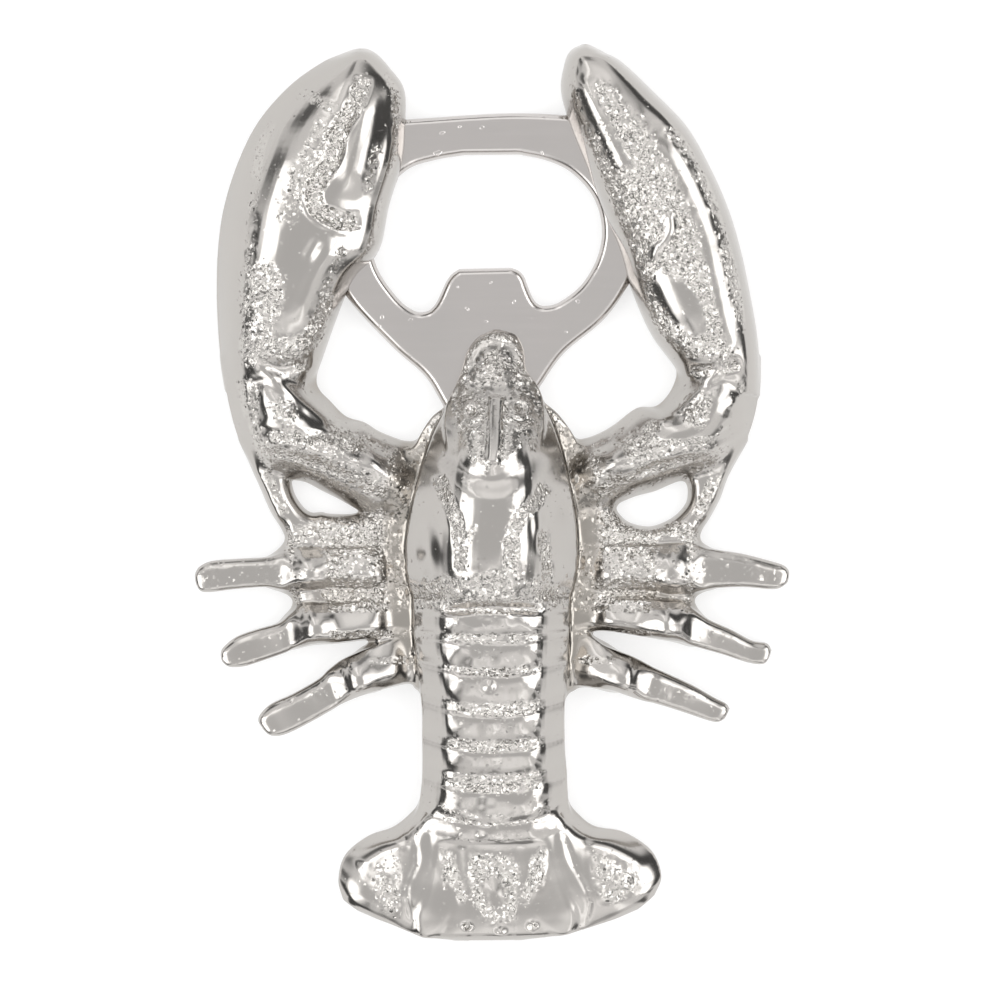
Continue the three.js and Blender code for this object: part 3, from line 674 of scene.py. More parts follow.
def claws_relief():
    for side in (-1, 1):
        claw = on_side(side, [[52, 20], [52, 60], [36, 78], [22, 82], [10, 78], [13, 60], [22, 40], [30, 22]])
        patch(claw, grain=0.0, soft=0.5)
    # Left claw: its finger, with the grainy groove that parts it from the palm.
    stroke([[-37, 68.5], [-40.6, 62.5], [-42.2, 54], [-42.8, 46], [-42.8, 38], [-42.2, 28]], 1.6,
           grain=0.45, taper=0.12)
    stroke([[-28.5, 67], [-32.6, 58.5], [-35.8, 50], [-37.4, 45.5]], 3.2, grain=0.62, taper=0.15)
    stroke([[-36, 72], [-31, 69.5], [-26.6, 66], [-29.5, 58]], 1.6, grain=0.4)
    patch([[-44.5, 39], [-39, 41], [-36.8, 36], [-38.5, 27], [-37.5, 23], [-44.5, 23]], grain=0.8, soft=1.4)
    groove = [
        [-22.6, 74.4], [-23.6, 70.5], [-25.0, 67.3], [-26.6, 65], [-28.0, 60], [-29.4, 57.2], [-31, 54.6],
        [-31.6, 52.4], [-30.8, 50.2], [-28.6, 48.8], [-26, 48.0], [-22.6, 48.2],
    ]
    stroke(groove, 2.2, -0.5, grain=1.0, taper=0.06, flat=0.3)
    stroke([[-33.0, 54.8], [-33.4, 51.8], [-31.8, 49.0], [-29.4, 47.4], [-26.6, 46.6]], 1.3, 0.3, taper=0.3)
    stroke([[-22.3, 72.5], [-23.4, 68], [-25.4, 63.8], [-26.6, 60]], 1.1, 0.22, taper=0.25)
    stroke([[-20.6, 73.6], [-21.8, 67], [-23.6, 60], [-25.4, 51.0]], 4.2, 1.0, taper=0.3, flat=0.1)
    stroke([[-20.0, 63], [-21, 58.5], [-22.6, 52]], 1.5, grain=0.5)
    stroke([[-30.4, 45.8], [-31.6, 43.6], [-33.6, 40.4]], 1.7, -0.22, taper=0.35)
    stroke([[-27.4, 46.2], [-29.4, 41], [-32.2, 34.6], [-34.6, 29]], 3.4, 0.55, taper=0.25)
    stroke([[-26.0, 44.6], [-28.2, 39], [-31.0, 33.4]], 1.3, grain=0.5)
    mound(-26.8, 46.6, 2.2, 1.7, 0.25)
    stroke([[-18.4, 75.5], [-16.8, 70], [-16.2, 62], [-17.4, 55]], 2.0, grain=0.75, taper=0.08)
    stroke([[-18.4, 53], [-20.6, 46], [-23.6, 40], [-27.0, 33.6]], 1.5, grain=0.6, taper=0.1)
    stroke([[-27.6, 36], [-31, 28.6], [-35.5, 25.6], [-41.5, 25.4]], 3.0, 0.2, grain=1.0, taper=0.1)
    stroke([[-42.5, 22.6], [-37, 22.0], [-31.5, 23.0]], 2.0, -0.7, grain=1.0, taper=0.15)

    # Right claw: a broad pillow, rubbed along its rim, with long ribs near the tip and an S-shaped wrinkle.
    patch([[18.5, 73.5], [26, 66], [31.5, 58], [36.5, 46], [40.5, 34], [41.5, 26], [36, 24.5], [28.5, 34],
          [25, 42], [21.5, 51], [18.6, 60], [15.5, 70]], grain=1.0, soft=1.8)
    stroke([[30.0, 66.0], [34.4, 61], [37.8, 55], [40.3, 48], [42.2, 41], [43.6, 34], [44.6, 27]], 1.8,
           grain=0.85, taper=0.1)
    stroke([[30.0, 62.8], [33.6, 58], [36.4, 52.4], [38.8, 45], [40.6, 37.6], [42.0, 31], [43.2, 24]], 2.2,
           0.15, grain=0.05, taper=0.08)
    stroke([[15.6, 74.6], [18.2, 68], [21.6, 61], [24.6, 55.8]], 2.8, 0.5, grain=0.2, taper=0.15)
    stroke([[20.2, 73.6], [22.4, 69], [25.2, 62.8]], 1.7, 0.22, grain=0.4, taper=0.25)
    stroke([[17.8, 62.0], [19.8, 55], [22.6, 46.5]], 1.8, -0.15)
    stroke([[31.4, 50.4], [31.8, 46.8], [30.8, 44.6], [29.2, 43], [28.4, 40.4]], 1.4, 0.5, grain=0.1,
           taper=0.18)
    stroke([[33.8, 49.6], [33.8, 46], [32.2, 42.8]], 1.6, -0.3, taper=0.25)
    patch([[29.6, 39.0], [33, 38.0], [36.6, 34], [38.4, 29], [35.6, 27.6], [31.5, 31.5], [28.8, 36]],
          grain=0.05, soft=0.8)
    stroke([[27.6, 38.8], [29.0, 34.4], [32.0, 30.2], [36.2, 27.0]], 2.4, -0.3, taper=0.25)
    stroke([[14.0, 73], [14.9, 67], [17.6, 59]], 1.5, grain=0.4, taper=0.1)
    stroke([[27.0, 35], [30, 30], [34, 26], [39, 24.6], [44, 24.6]], 2.4, 0.2, grain=0.95, taper=0.1)
    stroke([[34.5, 21.6], [39, 21.6], [45, 22.8]], 1.8, -0.6, grain=1.0, taper=0.15)


def arms_relief():
    for side in (-1, 1):
        arm = on_side(side, [[45, 20], [33, 15], [22, 9], [16, 5], [14, -3], [24, 0], [34, 4], [42, 8]])
        patch(arm, grain=0.95, soft=1.4)
    # Left arm: the flat three-cornered face of the wrist, then the bands of the long joint.
    stroke([[-42.6, 23.4], [-35.6, 17.6], [-28.2, 12.0]], 1.9, 0.5, grain=0.1, taper=0.12)
    patch([[-41.2, 21.4], [-34.6, 15.6], [-28.2, 10.9], [-34.5, 11.0], [-41.0, 11.4], [-41.4, 16]],
          grain=0.0, soft=0.6)
    stroke([[-41.8, 20.5], [-42.0, 15.5], [-41.2, 11.6]], 1.9, -0.35, taper=0.15)
    stroke([[-42.5, 10.4], [-36, 9.9], [-28.4, 9.8]], 1.5, -0.3, grain=0.3, taper=0.15)
    mound(-36.8, 14.2, 4.0, 3.2, 0.5, -30, grain=1.0)
    stroke([[-40.6, 24.0], [-33.6, 19.4], [-28.8, 15.6], [-24.6, 13.0]], 2.0, grain=0.35, taper=0.1)
    stroke([[-45.0, 21.5], [-44.0, 16], [-43.4, 11]], 1.4, grain=0.6)
    stroke([[-42.5, 8.2], [-36, 8.4], [-30, 7.4], [-24.5, 5.4], [-19, 2.8], [-14.5, 0.6]], 2.6, 0.5,
           grain=0.5, taper=0.12)
    stroke([[-40, 10.0], [-34, 9.6], [-28, 8.8], [-24, 7.6]], 1.2, grain=1.0, taper=0.12)
    stroke([[-33.5, 8.4], [-29.5, 7.6], [-25.4, 5.8]], 1.2, -0.35, taper=0.3)
    mound(-24.4, 8.4, 2.2, 1.9, 0.3, -30, grain=1.0)
    stroke([[-43, 6.0], [-37, 4.8], [-31, 2.8], [-25, -0.2], [-19.5, -3.6]], 2.0, 0.45, grain=0.45,
           taper=0.15)
    stroke([[-42, 7.4], [-36, 6.4], [-30, 4.6], [-24, 1.6]], 1.2, -0.35, grain=1.0)
    mound(-20.6, 5.6, 3.6, 3.0, 0.8, -35, grain=0.0)
    stroke([[-23.5, 12.6], [-19.8, 9.0], [-15.2, 6.2]], 1.6, 0.3, grain=0.4)
    stroke([[-44.2, 8], [-42.2, 3], [-40.0, -1.6], [-37.8, -6.2]], 2.2, 0.5, grain=0.0, taper=0.1)
    stroke([[-40.8, 4.4], [-38.6, -0.4], [-36.4, -5.0]], 1.6, grain=0.8, taper=0.15)
    # Right arm.
    stroke([[42.2, 23.4], [35.6, 17.0], [28.8, 11.2]], 1.8, 0.5, grain=0.35, taper=0.12)
    patch([[43.8, 21.4], [36.8, 15.4], [29.4, 10.2], [35.4, 8.8], [41.5, 11.6], [44.3, 14.6]], grain=0.0,
          soft=0.6)
    patch([[39.6, 17.7], [34.3, 13.0], [37.9, 11.4]], grain=1.0, soft=0.8)
    stroke([[45.2, 12.6], [40.4, 9.0], [35.0, 7.2]], 1.5, -0.3, grain=0.3, taper=0.15)
    mound(43.4, 15.9, 2.4, 1.5, 0.4, 35, grain=0.1)
    mound(42.2, 11.8, 1.8, 1.3, -0.4, 20)
    stroke([[35.0, 20.4], [31.0, 16.4], [27.0, 14.6], [22.4, 10.9]], 2.0, grain=0.35, taper=0.1)
    stroke([[43, 7.8], [36, 7.0], [29, 6.6], [23, 4.4], [16, 1.0]], 2.6, 0.5, grain=0.5, taper=0.12)
    stroke([[40, 9.4], [34, 8.8], [28, 8.4], [24, 7.4]], 1.2, grain=1.0, taper=0.12)
    stroke([[34, 7.4], [29.5, 6.8], [25.0, 4.8]], 1.2, -0.35, taper=0.3)
    stroke([[43, 5.8], [37, 4.2], [31, 2.8], [25, 0.4], [19, -3.2]], 2.0, 0.45, grain=0.4, taper=0.15)
    stroke([[41, 6.8], [35, 5.8], [29, 4.4], [24, 2.0]], 1.2, -0.35, grain=0.8)
    mound(21.6, 5.8, 3.5, 3.0, 0.8, 35, grain=0.0)
    stroke([[24.4, 13.4], [20.2, 9.8], [16.2, 7.6]], 1.6, 0.3, grain=0.4)
    stroke([[44.6, 8.2], [42.4, 3.2], [40.4, -1.4], [38.0, -6.0]], 2.2, 0.5, grain=0.0, taper=0.1)
    stroke([[40.4, 3.6], [38.4, -1.0], [36.4, -5.0]], 1.8, grain=0.8, taper=0.15)


# Each leg: the line across its knee, and the line of its inner joint's crest.
LEG_LINES = [
    ([[-32.5, -11.4], [-32.5, -16.6]], [[-28.5, -13.9], [-23, -13.7], [-17, -14.4]]),
    ([[-31.9, -21.2], [-31.5, -26.8]], [[-27.6, -23.7], [-23, -22.9], [-17, -22.8]]),
    ([[-25.5, -29.8], [-23.6, -35.6]], [[-21.8, -32.1], [-19.5, -31.2], [-16.5, -30.4]]),
    ([[32.2, -10.6], [32.2, -17.0]], [[29, -13.8], [23, -13.4], [17, -14.2]]),
    ([[31.6, -20.6], [31.3, -26.0]], [[28, -22.4], [23, -22.0], [17, -22.2]]),
    ([[25.0, -30.2], [23.6, -35.4]], [[22.6, -32.0], [20, -31.2], [17, -30.2]]),
]


def legs_relief():
    for side in (-1, 1):
        webs = [[37, -6], [24, -4.5], [17, -4], [16, -34], [22, -35], [23, -27], [34, -27], [36, -19]]
        patch(on_side(side, webs), grain=0.95, soft=1.2)
    for ribs, (knee, inner) in zip(LEGS, LEG_LINES):
        outer = [[(ax + bx) / 2, (ay + by) / 2] for ax, ay, bx, by, *_ in ribs[:6]]
        stroke(outer, 3.6, grain=0.14, taper=0.0, flat=0.3)
        stroke(inner, 2.8, grain=0.6, flat=0.2)
        stroke(knee, 3.6, grain=0.22, taper=0.0, flat=0.4)
    # Hollows between the legs, with low ribs where the metal drew in.
    for side in (-1, 1):
        stroke(on_side(side, [[35, -8.4], [27, -7.6], [19, -8.6]]), 1.9, 0.4)
        stroke(on_side(side, [[34, -18.6], [27, -19.0], [19, -18.4]]), 1.8, 0.4)
        stroke(on_side(side, [[30, -5.6], [22, -6.2], [18, -5.2]]), 1.5, 0.35)


def shell_relief():
    patch([[-9, 15], [9.6, 15], [14.6, 8.5], [18.2, 0], [18.8, -12], [18.2, -22], [14.5, -30],
          [-14.5, -30], [-18.2, -22], [-18.8, -12], [-18, 0], [-14, 8]], grain=0.4, soft=0.8)
    patch([[-8, 14], [0, 10], [8, 14], [12.8, 4], [15, -6], [14.8, -16], [8, -14.4], [0, -14.6],
          [-8, -14.8], [-14.6, -16], [-15, -6], [-12.6, 4]], grain=0.0, soft=0.8)
    # The dip behind the head's shield, and the grooves across the back.
    stroke([[-8.4, 9.4], [-6.6, 5.6], [-3.4, 3.0], [0.3, 2.0], [4.2, 3.2], [7.4, 5.4], [10.0, 7.6]], 3.4,
           -0.8, grain=0.08, taper=0.3)
    left = [[-9.6, 3.2], [-8.0, -0.8], [-6.4, -4.6], [-5.6, -8.5], [-5.3, -14.8]]
    right = [[10.2, 1.6], [7.6, -1.8], [4.6, -5.0], [3.6, -8.6], [3.3, -15.4]]
    outer = [[8.9, -6.0], [9.5, -10.5], [10.2, -16.2]]
    stroke(left, 1.7, -0.12, grain=1.0, taper=0.08, flat=0.3)
    stroke(right, 1.9, -0.12, grain=1.0, taper=0.08, flat=0.3)
    stroke(outer, 1.6, -0.08, grain=0.85, taper=0.15)
    mound(-7.8, -4.6, 1.8, 3.4, 0.3, 15)
    mound(-11.2, -10.5, 2.6, 5.8, 0.5, 8)
    mound(8.4, -5.6, 1.6, 4.0, 0.35, 0)
    stroke([[-3.2, -5.2], [-4.2, -9.8]], 1.3, grain=0.7, taper=0.4)
    stroke([[4.6, -5], [3.4, -1.4], [7.2, 2.8]], 0.9, grain=0.4, taper=0.3)
    # Its rear rim: a grainy strip, then a step down to the first ring.
    patch([[-12, -15.6], [-4, -14.8], [0, -13.6], [4, -14.8], [12, -17], [11.6, -20.6], [0, -20.6],
          [-11, -21.4]], grain=0.8, soft=0.8)
    stroke([[-9.0, -21.2], [-2, -20.4], [3, -20.4], [9.6, -21.0]], 1.3, -0.7, grain=0.3, taper=0.15)
    # The gutter between the shell and the legs, grainy and darkened with painted shade, but for a few
    # polished beads.
    for side in (-1, 1):
        gutter = [[10.2, 13], [14.4, 8], [16.6, 1], [17.4, -8], [17.2, -16], [16.2, -24], [15.0, -32]]
        gutter = on_side(side, gutter)
        stroke(gutter, 2.4, grain=0.35, taper=0.1, flat=0.3)
        # Painted shade along the gutter.
        stroke(gutter, 3.0, taper=0.1, flat=0.3, painted_shade=0.7)
    for x, y in ((-16.2, -12.5), (-13.8, -29), (14.6, 2.3), (16.9, -12.5), (-15.6, -18.2)):
        mound(x, y, 1.1, 1.4, 0.45, grain=0.0)


def head_relief():
    patch([[-7.4, 17], [-7, 12.4], [-5.2, 10], [-4.5, 6], [-3, 4.8], [0, 3.4], [2, 5], [5, 6.6], [8, 8],
          [8.4, 12], [8.6, 17.6], [6, 24], [1, 28.6], [-3, 26]], grain=0.55, soft=0.7)
    # A shield with a ridge along it, whose lower edge steps down to the back.
    patch([[-6.6, 14], [-5.2, 10], [-4.4, 6.4], [-2.8, 5.2], [0, 3.8], [2, 5.4], [5, 7.0], [7.6, 8.8],
          [8.0, 13], [4, 17], [-4, 17]], lift=0.35, soft=1.2)
    stroke([[0.9, 17.4], [0.7, 12], [0.2, 4.6]], 1.7, 0.5, grain=0.1, taper=0.08, flat=0.4)
    stroke([[2.4, 16], [2.3, 10], [1.6, 5.6]], 1.0, -0.08, grain=0.9, taper=0.1)
    stroke([[-1.0, 16], [-1.1, 10], [-1.3, 5.8]], 1.0, -0.08, taper=0.1)
    # Eyes.
    for x, y in ((-3.5, 14.2), (5.3, 14.8)):
        turn = np.linspace(0, 2 * np.pi, 9)
        ring = np.stack([x + 1.4 * np.cos(turn), y + 1.4 * np.sin(turn)], axis=1)
        stroke(ring, 0.9, 0.45, grain=0.6, taper=0.0)
        mound(x, y, 1.0, 1.0, -0.3)
    stroke([[-4.2, 12.6], [-3.6, 11.6], [-3, 10.4]], 0.9, 0.3, grain=1.0, taper=0.3)
    stroke([[4, 12.0], [5.4, 11.4], [7.2, 12.4]], 0.9, 0.35, grain=1.0, taper=0.3)
    stroke([[2.8, 14.0], [3.6, 12.6]], 1.0, 0.35, taper=0.3)
    # The snout: a raised rim round a smooth hollow with a grainy middle.
    rim = [
        [-6.6, 18.8], [-5.0, 21], [-4.2, 23.6], [-2.8, 26.0], [-0.8, 27.4], [1.6, 27.7], [3.8, 26.9],
        [5.0, 25], [5.2, 23], [5.8, 20.8], [7.6, 19.4],
    ]
    stroke(rim, 1.3, 0.3, grain=0.9, taper=0.06)
    stroke([[-3.0, 21.6], [-2.8, 23.8], [-1.2, 25.8], [1.4, 26.2], [3.2, 25.0], [3.8, 22.4]], 1.3, -0.15,
           grain=0.3, taper=0.15)
    mound(0.4, 22.4, 2.6, 3.4, 0.4, grain=1.0)
    stroke([[-5.4, 18.0], [-2, 18.8], [0.8, 18.4], [4, 18.8], [7.0, 18.0]], 1.3, -0.12, grain=0.5)


def abdomen_relief():
    """The marks on the tail's rings: a pit, and ripples in the long joint near the fan."""
    stroke([[-9, -50.6], [-4, -52.2], [0, -52.8], [4, -52.2], [9.6, -50.6]], 1.3, grain=1.0, taper=0.1)
    stroke([[-11, -50.2], [-4, -51.4], [4, -51.4], [11, -50.2]], 1.1, 0.2)
    stroke([[-12, -55.4], [-5, -57.6], [0, -58.4], [6, -57.6], [12.4, -55.4]], 1.3, 0.2, grain=0.4,
           taper=0.15)
    mound(-0.4, -34.4, 1.6, 1.6, -0.35)


def tail_relief():
    patch([[-28, -66], [-20, -60.4], [-14, -59], [-8, -62.6], [0, -62.8], [8, -62.4], [14, -59],
          [22, -60.2], [30.8, -66], [30, -73], [18, -78], [8, -80], [-8, -80], [-18, -78], [-27, -73]],
          grain=0.0, soft=0.6)
    # Grooves between the five lobes.
    stroke([[-13.8, -60.6], [-13.4, -66], [-15.1, -71], [-14.6, -75], [-13, -79]], 0.9, -0.12, grain=0.2,
           taper=0.1)
    stroke([[12.6, -60.2], [14.4, -66], [16.9, -71], [17.5, -74.4], [16.4, -78]], 0.9, -0.12, grain=0.2,
           taper=0.1)
    stroke([[-8.4, -63], [-8.0, -68], [-7.6, -72]], 1.4, -0.15, grain=0.7, taper=0.25)
    stroke([[9.2, -62.6], [8.8, -67], [8.2, -72]], 1.4, -0.15, grain=0.7, taper=0.25)
    # Outer lobes: a rounded shoulder along the upper edge, and grain in the hollow under it.
    stroke([[-15.0, -62.2], [-20, -63.8], [-24.4, -67.2]], 2.6, 0.35)
    stroke([[16.0, -62.0], [22, -63.8], [27.6, -67.6]], 2.6, 0.35)
    patch([[-16.4, -65], [-20.5, -66.4], [-23, -69.4], [-20, -74.6], [-16.4, -74.8]], grain=0.62, soft=1.4,
          lift=-0.15)
    patch([[18, -64.6], [23.4, -66.4], [26.4, -69.6], [24, -72.6], [19.5, -73]], grain=0.62, soft=1.4,
          lift=-0.15)
    # Inner lobes and the middle one, with grain round its edge and a smooth dent.
    stroke([[-11.3, -62.6], [-11.4, -67], [-12.6, -72.6], [-11.6, -77]], 2.6, 0.12)
    stroke([[11.9, -62.6], [12.9, -68], [14.2, -73], [13.4, -77]], 2.6, 0.12)
    stroke([[-7.4, -64], [-6.6, -69], [-4.6, -74]], 1.5, 0.1, grain=0.85, taper=0.15)
    stroke([[8.0, -64], [7.4, -69], [5.6, -74]], 1.5, 0.1, grain=0.85, taper=0.15)
    patch([[-3.6, -65], [3.6, -65], [5, -71], [3.6, -76.5], [-1, -76.5], [-3.8, -71]], grain=0.85, soft=1.2)
    mound(0.4, -71.6, 3.0, 4.2, -0.45, 20, grain=0.0)
    for x, y, grain in ((-4.4, -77.8, 0.9), (7.4, -77.6, 0.8), (1.7, -78.5, 0.3)):
        mound(x, y, 1.4, 1.1, -0.4, grain=grain)


def flash_lumps():
    """Lumps of flash where the plate enters the casting."""
    lumps = [(-14.4, 67.2, 1.3, 1.5, 0.9), (-27.6, 32.5, 1.6, 1.4, 0.9), (22.6, 29.0, 1.6, 1.2, 0.8),
             (-7.2, 18.0, 1.2, 1.4, 0.8), (9.0, 18.2, 1.2, 1.4, 0.8), (12.9, 67.2, 1.1, 1.4, 0.7)]
    for x, y, rx, ry, lift in lumps:
        mound(x, y, rx, ry, lift, grain=1.0)


def sampled(image, x, y, x_axis=RELIEF_X, y_axis=RELIEF_Y, cell=CELL):
    """The image's values at places in mm, on its own axes."""
    i = np.clip((x - x_axis[0]) / cell, 0, len(x_axis) - 1.001)
    j = np.clip((y - y_axis[0]) / cell, 0, len(y_axis) - 1.001)
    return between_cells(image, i, j)


def vertex_normals(points, triangles, quads):
    normals = np.zeros_like(points)
    for faces in (triangles, quads):
        if not len(faces):
            continue
        a, b, c = points[faces[:, 0]], points[faces[:, 1]], points[faces[:, 2]]
        d = points[faces[:, -1]]
        n = np.cross(c - a, d - b) if faces.shape[1] == 4 else np.cross(b - a, c - a)
        for column in faces.T:
            for axis in range(3):
                normals[:, axis] += np.bincount(column, n[:, axis], len(points))
    return normals / np.maximum(np.linalg.norm(normals, axis=1, keepdims=True), 1e-12)


# ---- Materials ----


class Nodes:
    """A short way to build a node tree."""

    def __init__(self, tree):
        self.tree = tree
        tree.nodes.clear()

    def add(self, kind, **settings):
        node = self.tree.nodes.new(kind)
        inputs = settings.pop("inputs", {})
        for name, value in settings.items():
            setattr(node, name, value)
        for name, value in inputs.items():
            self.feed(node.inputs[name], value)
        return node

    def feed(self, socket, value):
        if isinstance(value, bpy.types.NodeSocket):
            self.tree.links.new(value, socket)
        elif isinstance(value, bpy.types.Node):
            self.tree.links.new(value.outputs[0], socket)
        else:
            socket.default_value = value

    def math(self, operation, a, b=0.0, clamp=False):
        node = self.add("ShaderNodeMath", operation=operation, use_clamp=clamp, inputs={0: a, 1: b})
        return node.outputs[0]

    def ramp(self, value, low, high, to_low=0.0, to_high=1.0):
        inputs = {"Value": value, "From Min": low, "From Max": high, "To Min": to_low, "To Max": to_high}
        node = self.add("ShaderNodeMapRange", interpolation_type="SMOOTHSTEP", inputs=inputs)
        return node.outputs["Result"]

    def noise(self, where, scale, detail=2.0, rough=0.5):
        inputs = {"Vector": where, "Scale": scale, "Detail": detail, "Roughness": rough}
        return self.add("ShaderNodeTexNoise", inputs=inputs).outputs["Fac"]

    def attribute(self, name):
        return self.add("ShaderNodeAttribute", attribute_name=name).outputs["Fac"]

    def mix(self, share, a, b):
        return self.add("ShaderNodeMix", data_type="FLOAT", inputs={0: share, 2: a, 3: b}).outputs[0]

    def tint(self, share, a, b):
        """A colour between a and b, each a colour socket or red, green and blue."""
        node = self.add("ShaderNodeMix", data_type="RGBA")
        for name, given in (("Factor", share), ("A", a), ("B", b)):
            self.feed(node.inputs[name], (*given, 1.0) if isinstance(given, tuple) else given)
        return node.outputs["Result"]

    def finish(self, **inputs):
        """Ends a material in one Principled shader."""
        named = {name.replace("_", " "): value for name, value in inputs.items()}
        shader = self.add("ShaderNodeBsdfPrincipled", inputs=named)
        self.feed(self.add("ShaderNodeOutputMaterial").inputs["Surface"], shader)


def new_material(name):
    """A material, its nodes, and the place on the object that they start from."""
    material = bpy.data.materials.new(name)
    material.use_nodes = True
    n = Nodes(material.node_tree)
    return material, n, n.add("ShaderNodeTexCoord").outputs["Object"]


# Scales of a pattern are in turns per metre.
FACETS = 2100.0
FACET_TILT = 0.95
FACET_BEND = 0.0005  # m that a facet's straight edges are bent by
CAST_BUMP = 0.0002  # m
PLATE_BUMP = 0.0005  # m
NICKEL = (0.485, 0.461, 0.437), (0.46, 0.443, 0.422)
GRAINY_NICKEL = (0.56, 0.538, 0.51)
# The colour of the painted shade in the hollows: a darker, browner nickel.
SHADED_NICKEL_PAINT = (0.37, 0.341, 0.305)
STEEL = (0.59, 0.558, 0.54), (0.555, 0.532, 0.515)


def cast_metal():
    """Bright nickel: mirror-smooth where it was polished, a field of sharp facets where it is as cast."""
    material, n, where = new_material("cast_nickel")
    patchy = n.math("MULTIPLY", n.math("SUBTRACT", n.noise(where, 330.0, 2.0, 0.6), 0.5), 0.5)
    density = n.math("ADD", n.attribute("grain"), patchy, clamp=True)
    # Each grain is a small facet turned its own way. They stand singly where the skin is nearly polished,
    # and crowd together where it is left as cast.
    wander = n.add("ShaderNodeTexNoise", inputs={"Vector": where, "Scale": 2600.0}).outputs["Color"]
    bent = n.add("ShaderNodeVectorMath", operation="MULTIPLY_ADD", inputs={
        0: wander, 1: (FACET_BEND,) * 3, 2: where})
    cells = n.add("ShaderNodeTexVoronoi", inputs={"Vector": bent, "Scale": FACETS})
    own = n.add("ShaderNodeSeparateXYZ", inputs={0: cells.outputs["Color"]})
    strength = n.math("MULTIPLY", n.ramp(density, 0.0, 0.8, 0.2, 1.0), FACET_TILT)
    chosen = n.math("LESS_THAN", own.outputs["Z"], n.math("MULTIPLY", density, 0.9))
    turned = n.math("MULTIPLY", chosen, strength)
    tilt = n.add("ShaderNodeCombineXYZ", inputs={
        axis: n.math("MULTIPLY", n.math("SUBTRACT", own.outputs[axis], 0.5), turned) for axis in (0, 1)})
    skin = n.add("ShaderNodeVectorMath", operation="ADD", inputs={
        0: n.add("ShaderNodeNewGeometry").outputs["Normal"], 1: tilt})
    skin = n.add("ShaderNodeVectorMath", operation="NORMALIZE", inputs={0: skin})
    level = n.math("SUBTRACT", 0.735, n.math("MULTIPLY", density, 0.25))
    grains = n.ramp(n.math("SUBTRACT", n.noise(where, 1450.0, 1.5, 0.55), level), -0.02, 0.26)
    swirl = n.math("MULTIPLY", n.noise(where, 240.0), 0.03)
    depth = n.math("ADD", n.math("MULTIPLY", density, 0.03), 0.003)
    scuffs = n.math("MULTIPLY", n.noise(where, 2600.0), depth)
    surface = n.math("ADD", n.math("ADD", grains, swirl), scuffs)
    bump = n.add("ShaderNodeBump", inputs={
        "Distance": CAST_BUMP, "Strength": 1.0, "Height": surface, "Normal": skin})
    polished = n.tint(n.noise(where, 120.0, 3.0), *NICKEL)
    clean = n.tint(n.ramp(density, 0.2, 0.9), polished, GRAINY_NICKEL)
    # The base colour darkens towards the painted shade colour where the hollows are deep.
    n.finish(Base_Color=n.tint(n.attribute("painted_shade"), clean, SHADED_NICKEL_PAINT), Metallic=1.0,
             Roughness=n.ramp(density, 0.0, 1.0, 0.15, 0.27), Normal=bump)
    return material


def plate_metal():
    """Flat rolled steel with a soft sheen, fine scratches and a few small pits."""
    material, n, where = new_material("plate_steel")
    stretched = n.add("ShaderNodeMapping", inputs={
        "Vector": where, "Scale": (60.0, 1400.0, 200.0), "Rotation": (0.0, 0.0, 0.4)})
    brushed = n.noise(stretched, 1.0, 3.0, 0.6)
    pits = n.ramp(n.noise(where, 900.0, 0.0), 0.79, 0.86)
    surface = n.math("SUBTRACT", n.math("MULTIPLY", brushed, 0.02), n.math("MULTIPLY", pits, 0.1))
    bump = n.add("ShaderNodeBump", inputs={"Distance": PLATE_BUMP, "Strength": 1.0, "Height": surface})
    n.finish(Base_Color=n.tint(n.noise(where, 90.0, 3.0), *STEEL), Metallic=1.0,
             Roughness=n.ramp(brushed, 0.3, 0.7, 0.12, 0.2), Normal=bump)
    return material


# ---- Pieces ----


def placed(name, points, triangles, quads, material):
    """A smooth-shaded mesh object in the frame, from points in the opener's own millimetres."""
    mesh = bpy.data.meshes.new(name)
    faces = triangles[:, ::-1].tolist() + quads[:, ::-1].tolist()
    mesh.from_pydata((points * MM + ORIGIN).tolist(), [], faces)
    mesh.shade_smooth()
    mesh.materials.append(material)
    made = bpy.data.objects.new(name, mesh)
    bpy.context.scene.collection.objects.link(made)
    return made


CASTING_ROUNDS = 4  # of smoothing, before the relief
RELIEF_ROUNDS = 1  # and after it
PLATE_ROUNDS = 3
RELIEF_FROM, RELIEF_OVER = 0.12, 0.45  # how far up the skin has to face to take the relief
GRAIN_FROM, GRAIN_OVER = 0.25, 0.35
BACK_GRAIN = 0.75


def make_casting(plate):
    field = casting_field(plate)
    height = height_of(field)
    relief(sampled(height, GX, GY, FIELD_X, FIELD_Y, VOXEL))

    points, triangles, quads = mesh_of(field)
    pairs = edge_pairs(triangles, quads)
    points = relax(points, pairs, CASTING_ROUNDS)
    normals = vertex_normals(points, triangles, quads)
    if normals[points[:, 2].argmax(), 2] < 0:
        normals = -normals
    up = normals[:, 2]
    facing = ease((up - RELIEF_FROM) / RELIEF_OVER)
    points[:, 2] += sampled(LIFT, points[:, 0], points[:, 1]) * facing
    points = relax(points, pairs, RELIEF_ROUNDS)

    # The flat back keeps the sand's grain all over.
    back = ease((-up - 0.5) / 0.3)
    grain = sampled(GRAIN, points[:, 0], points[:, 1]) * ease((up - GRAIN_FROM) / GRAIN_OVER)
    grain = np.maximum(grain, BACK_GRAIN * back)
    casting = placed("lobster_cast_body", points, triangles, quads, cast_metal())
    # The grain pattern, and the painted shade of the hollows, kept on the points.
    for name, values in (("grain", grain), ("painted_shade", sampled(HOLLOW_SHADE_PAINT, points[:, 0], points[:, 1]))):
        store = casting.data.attributes.new(name, "FLOAT", "POINT")
        store.data.foreach_set("value", values.astype(np.float32))
    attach(casting, "root")
    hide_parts("lobster_casting")


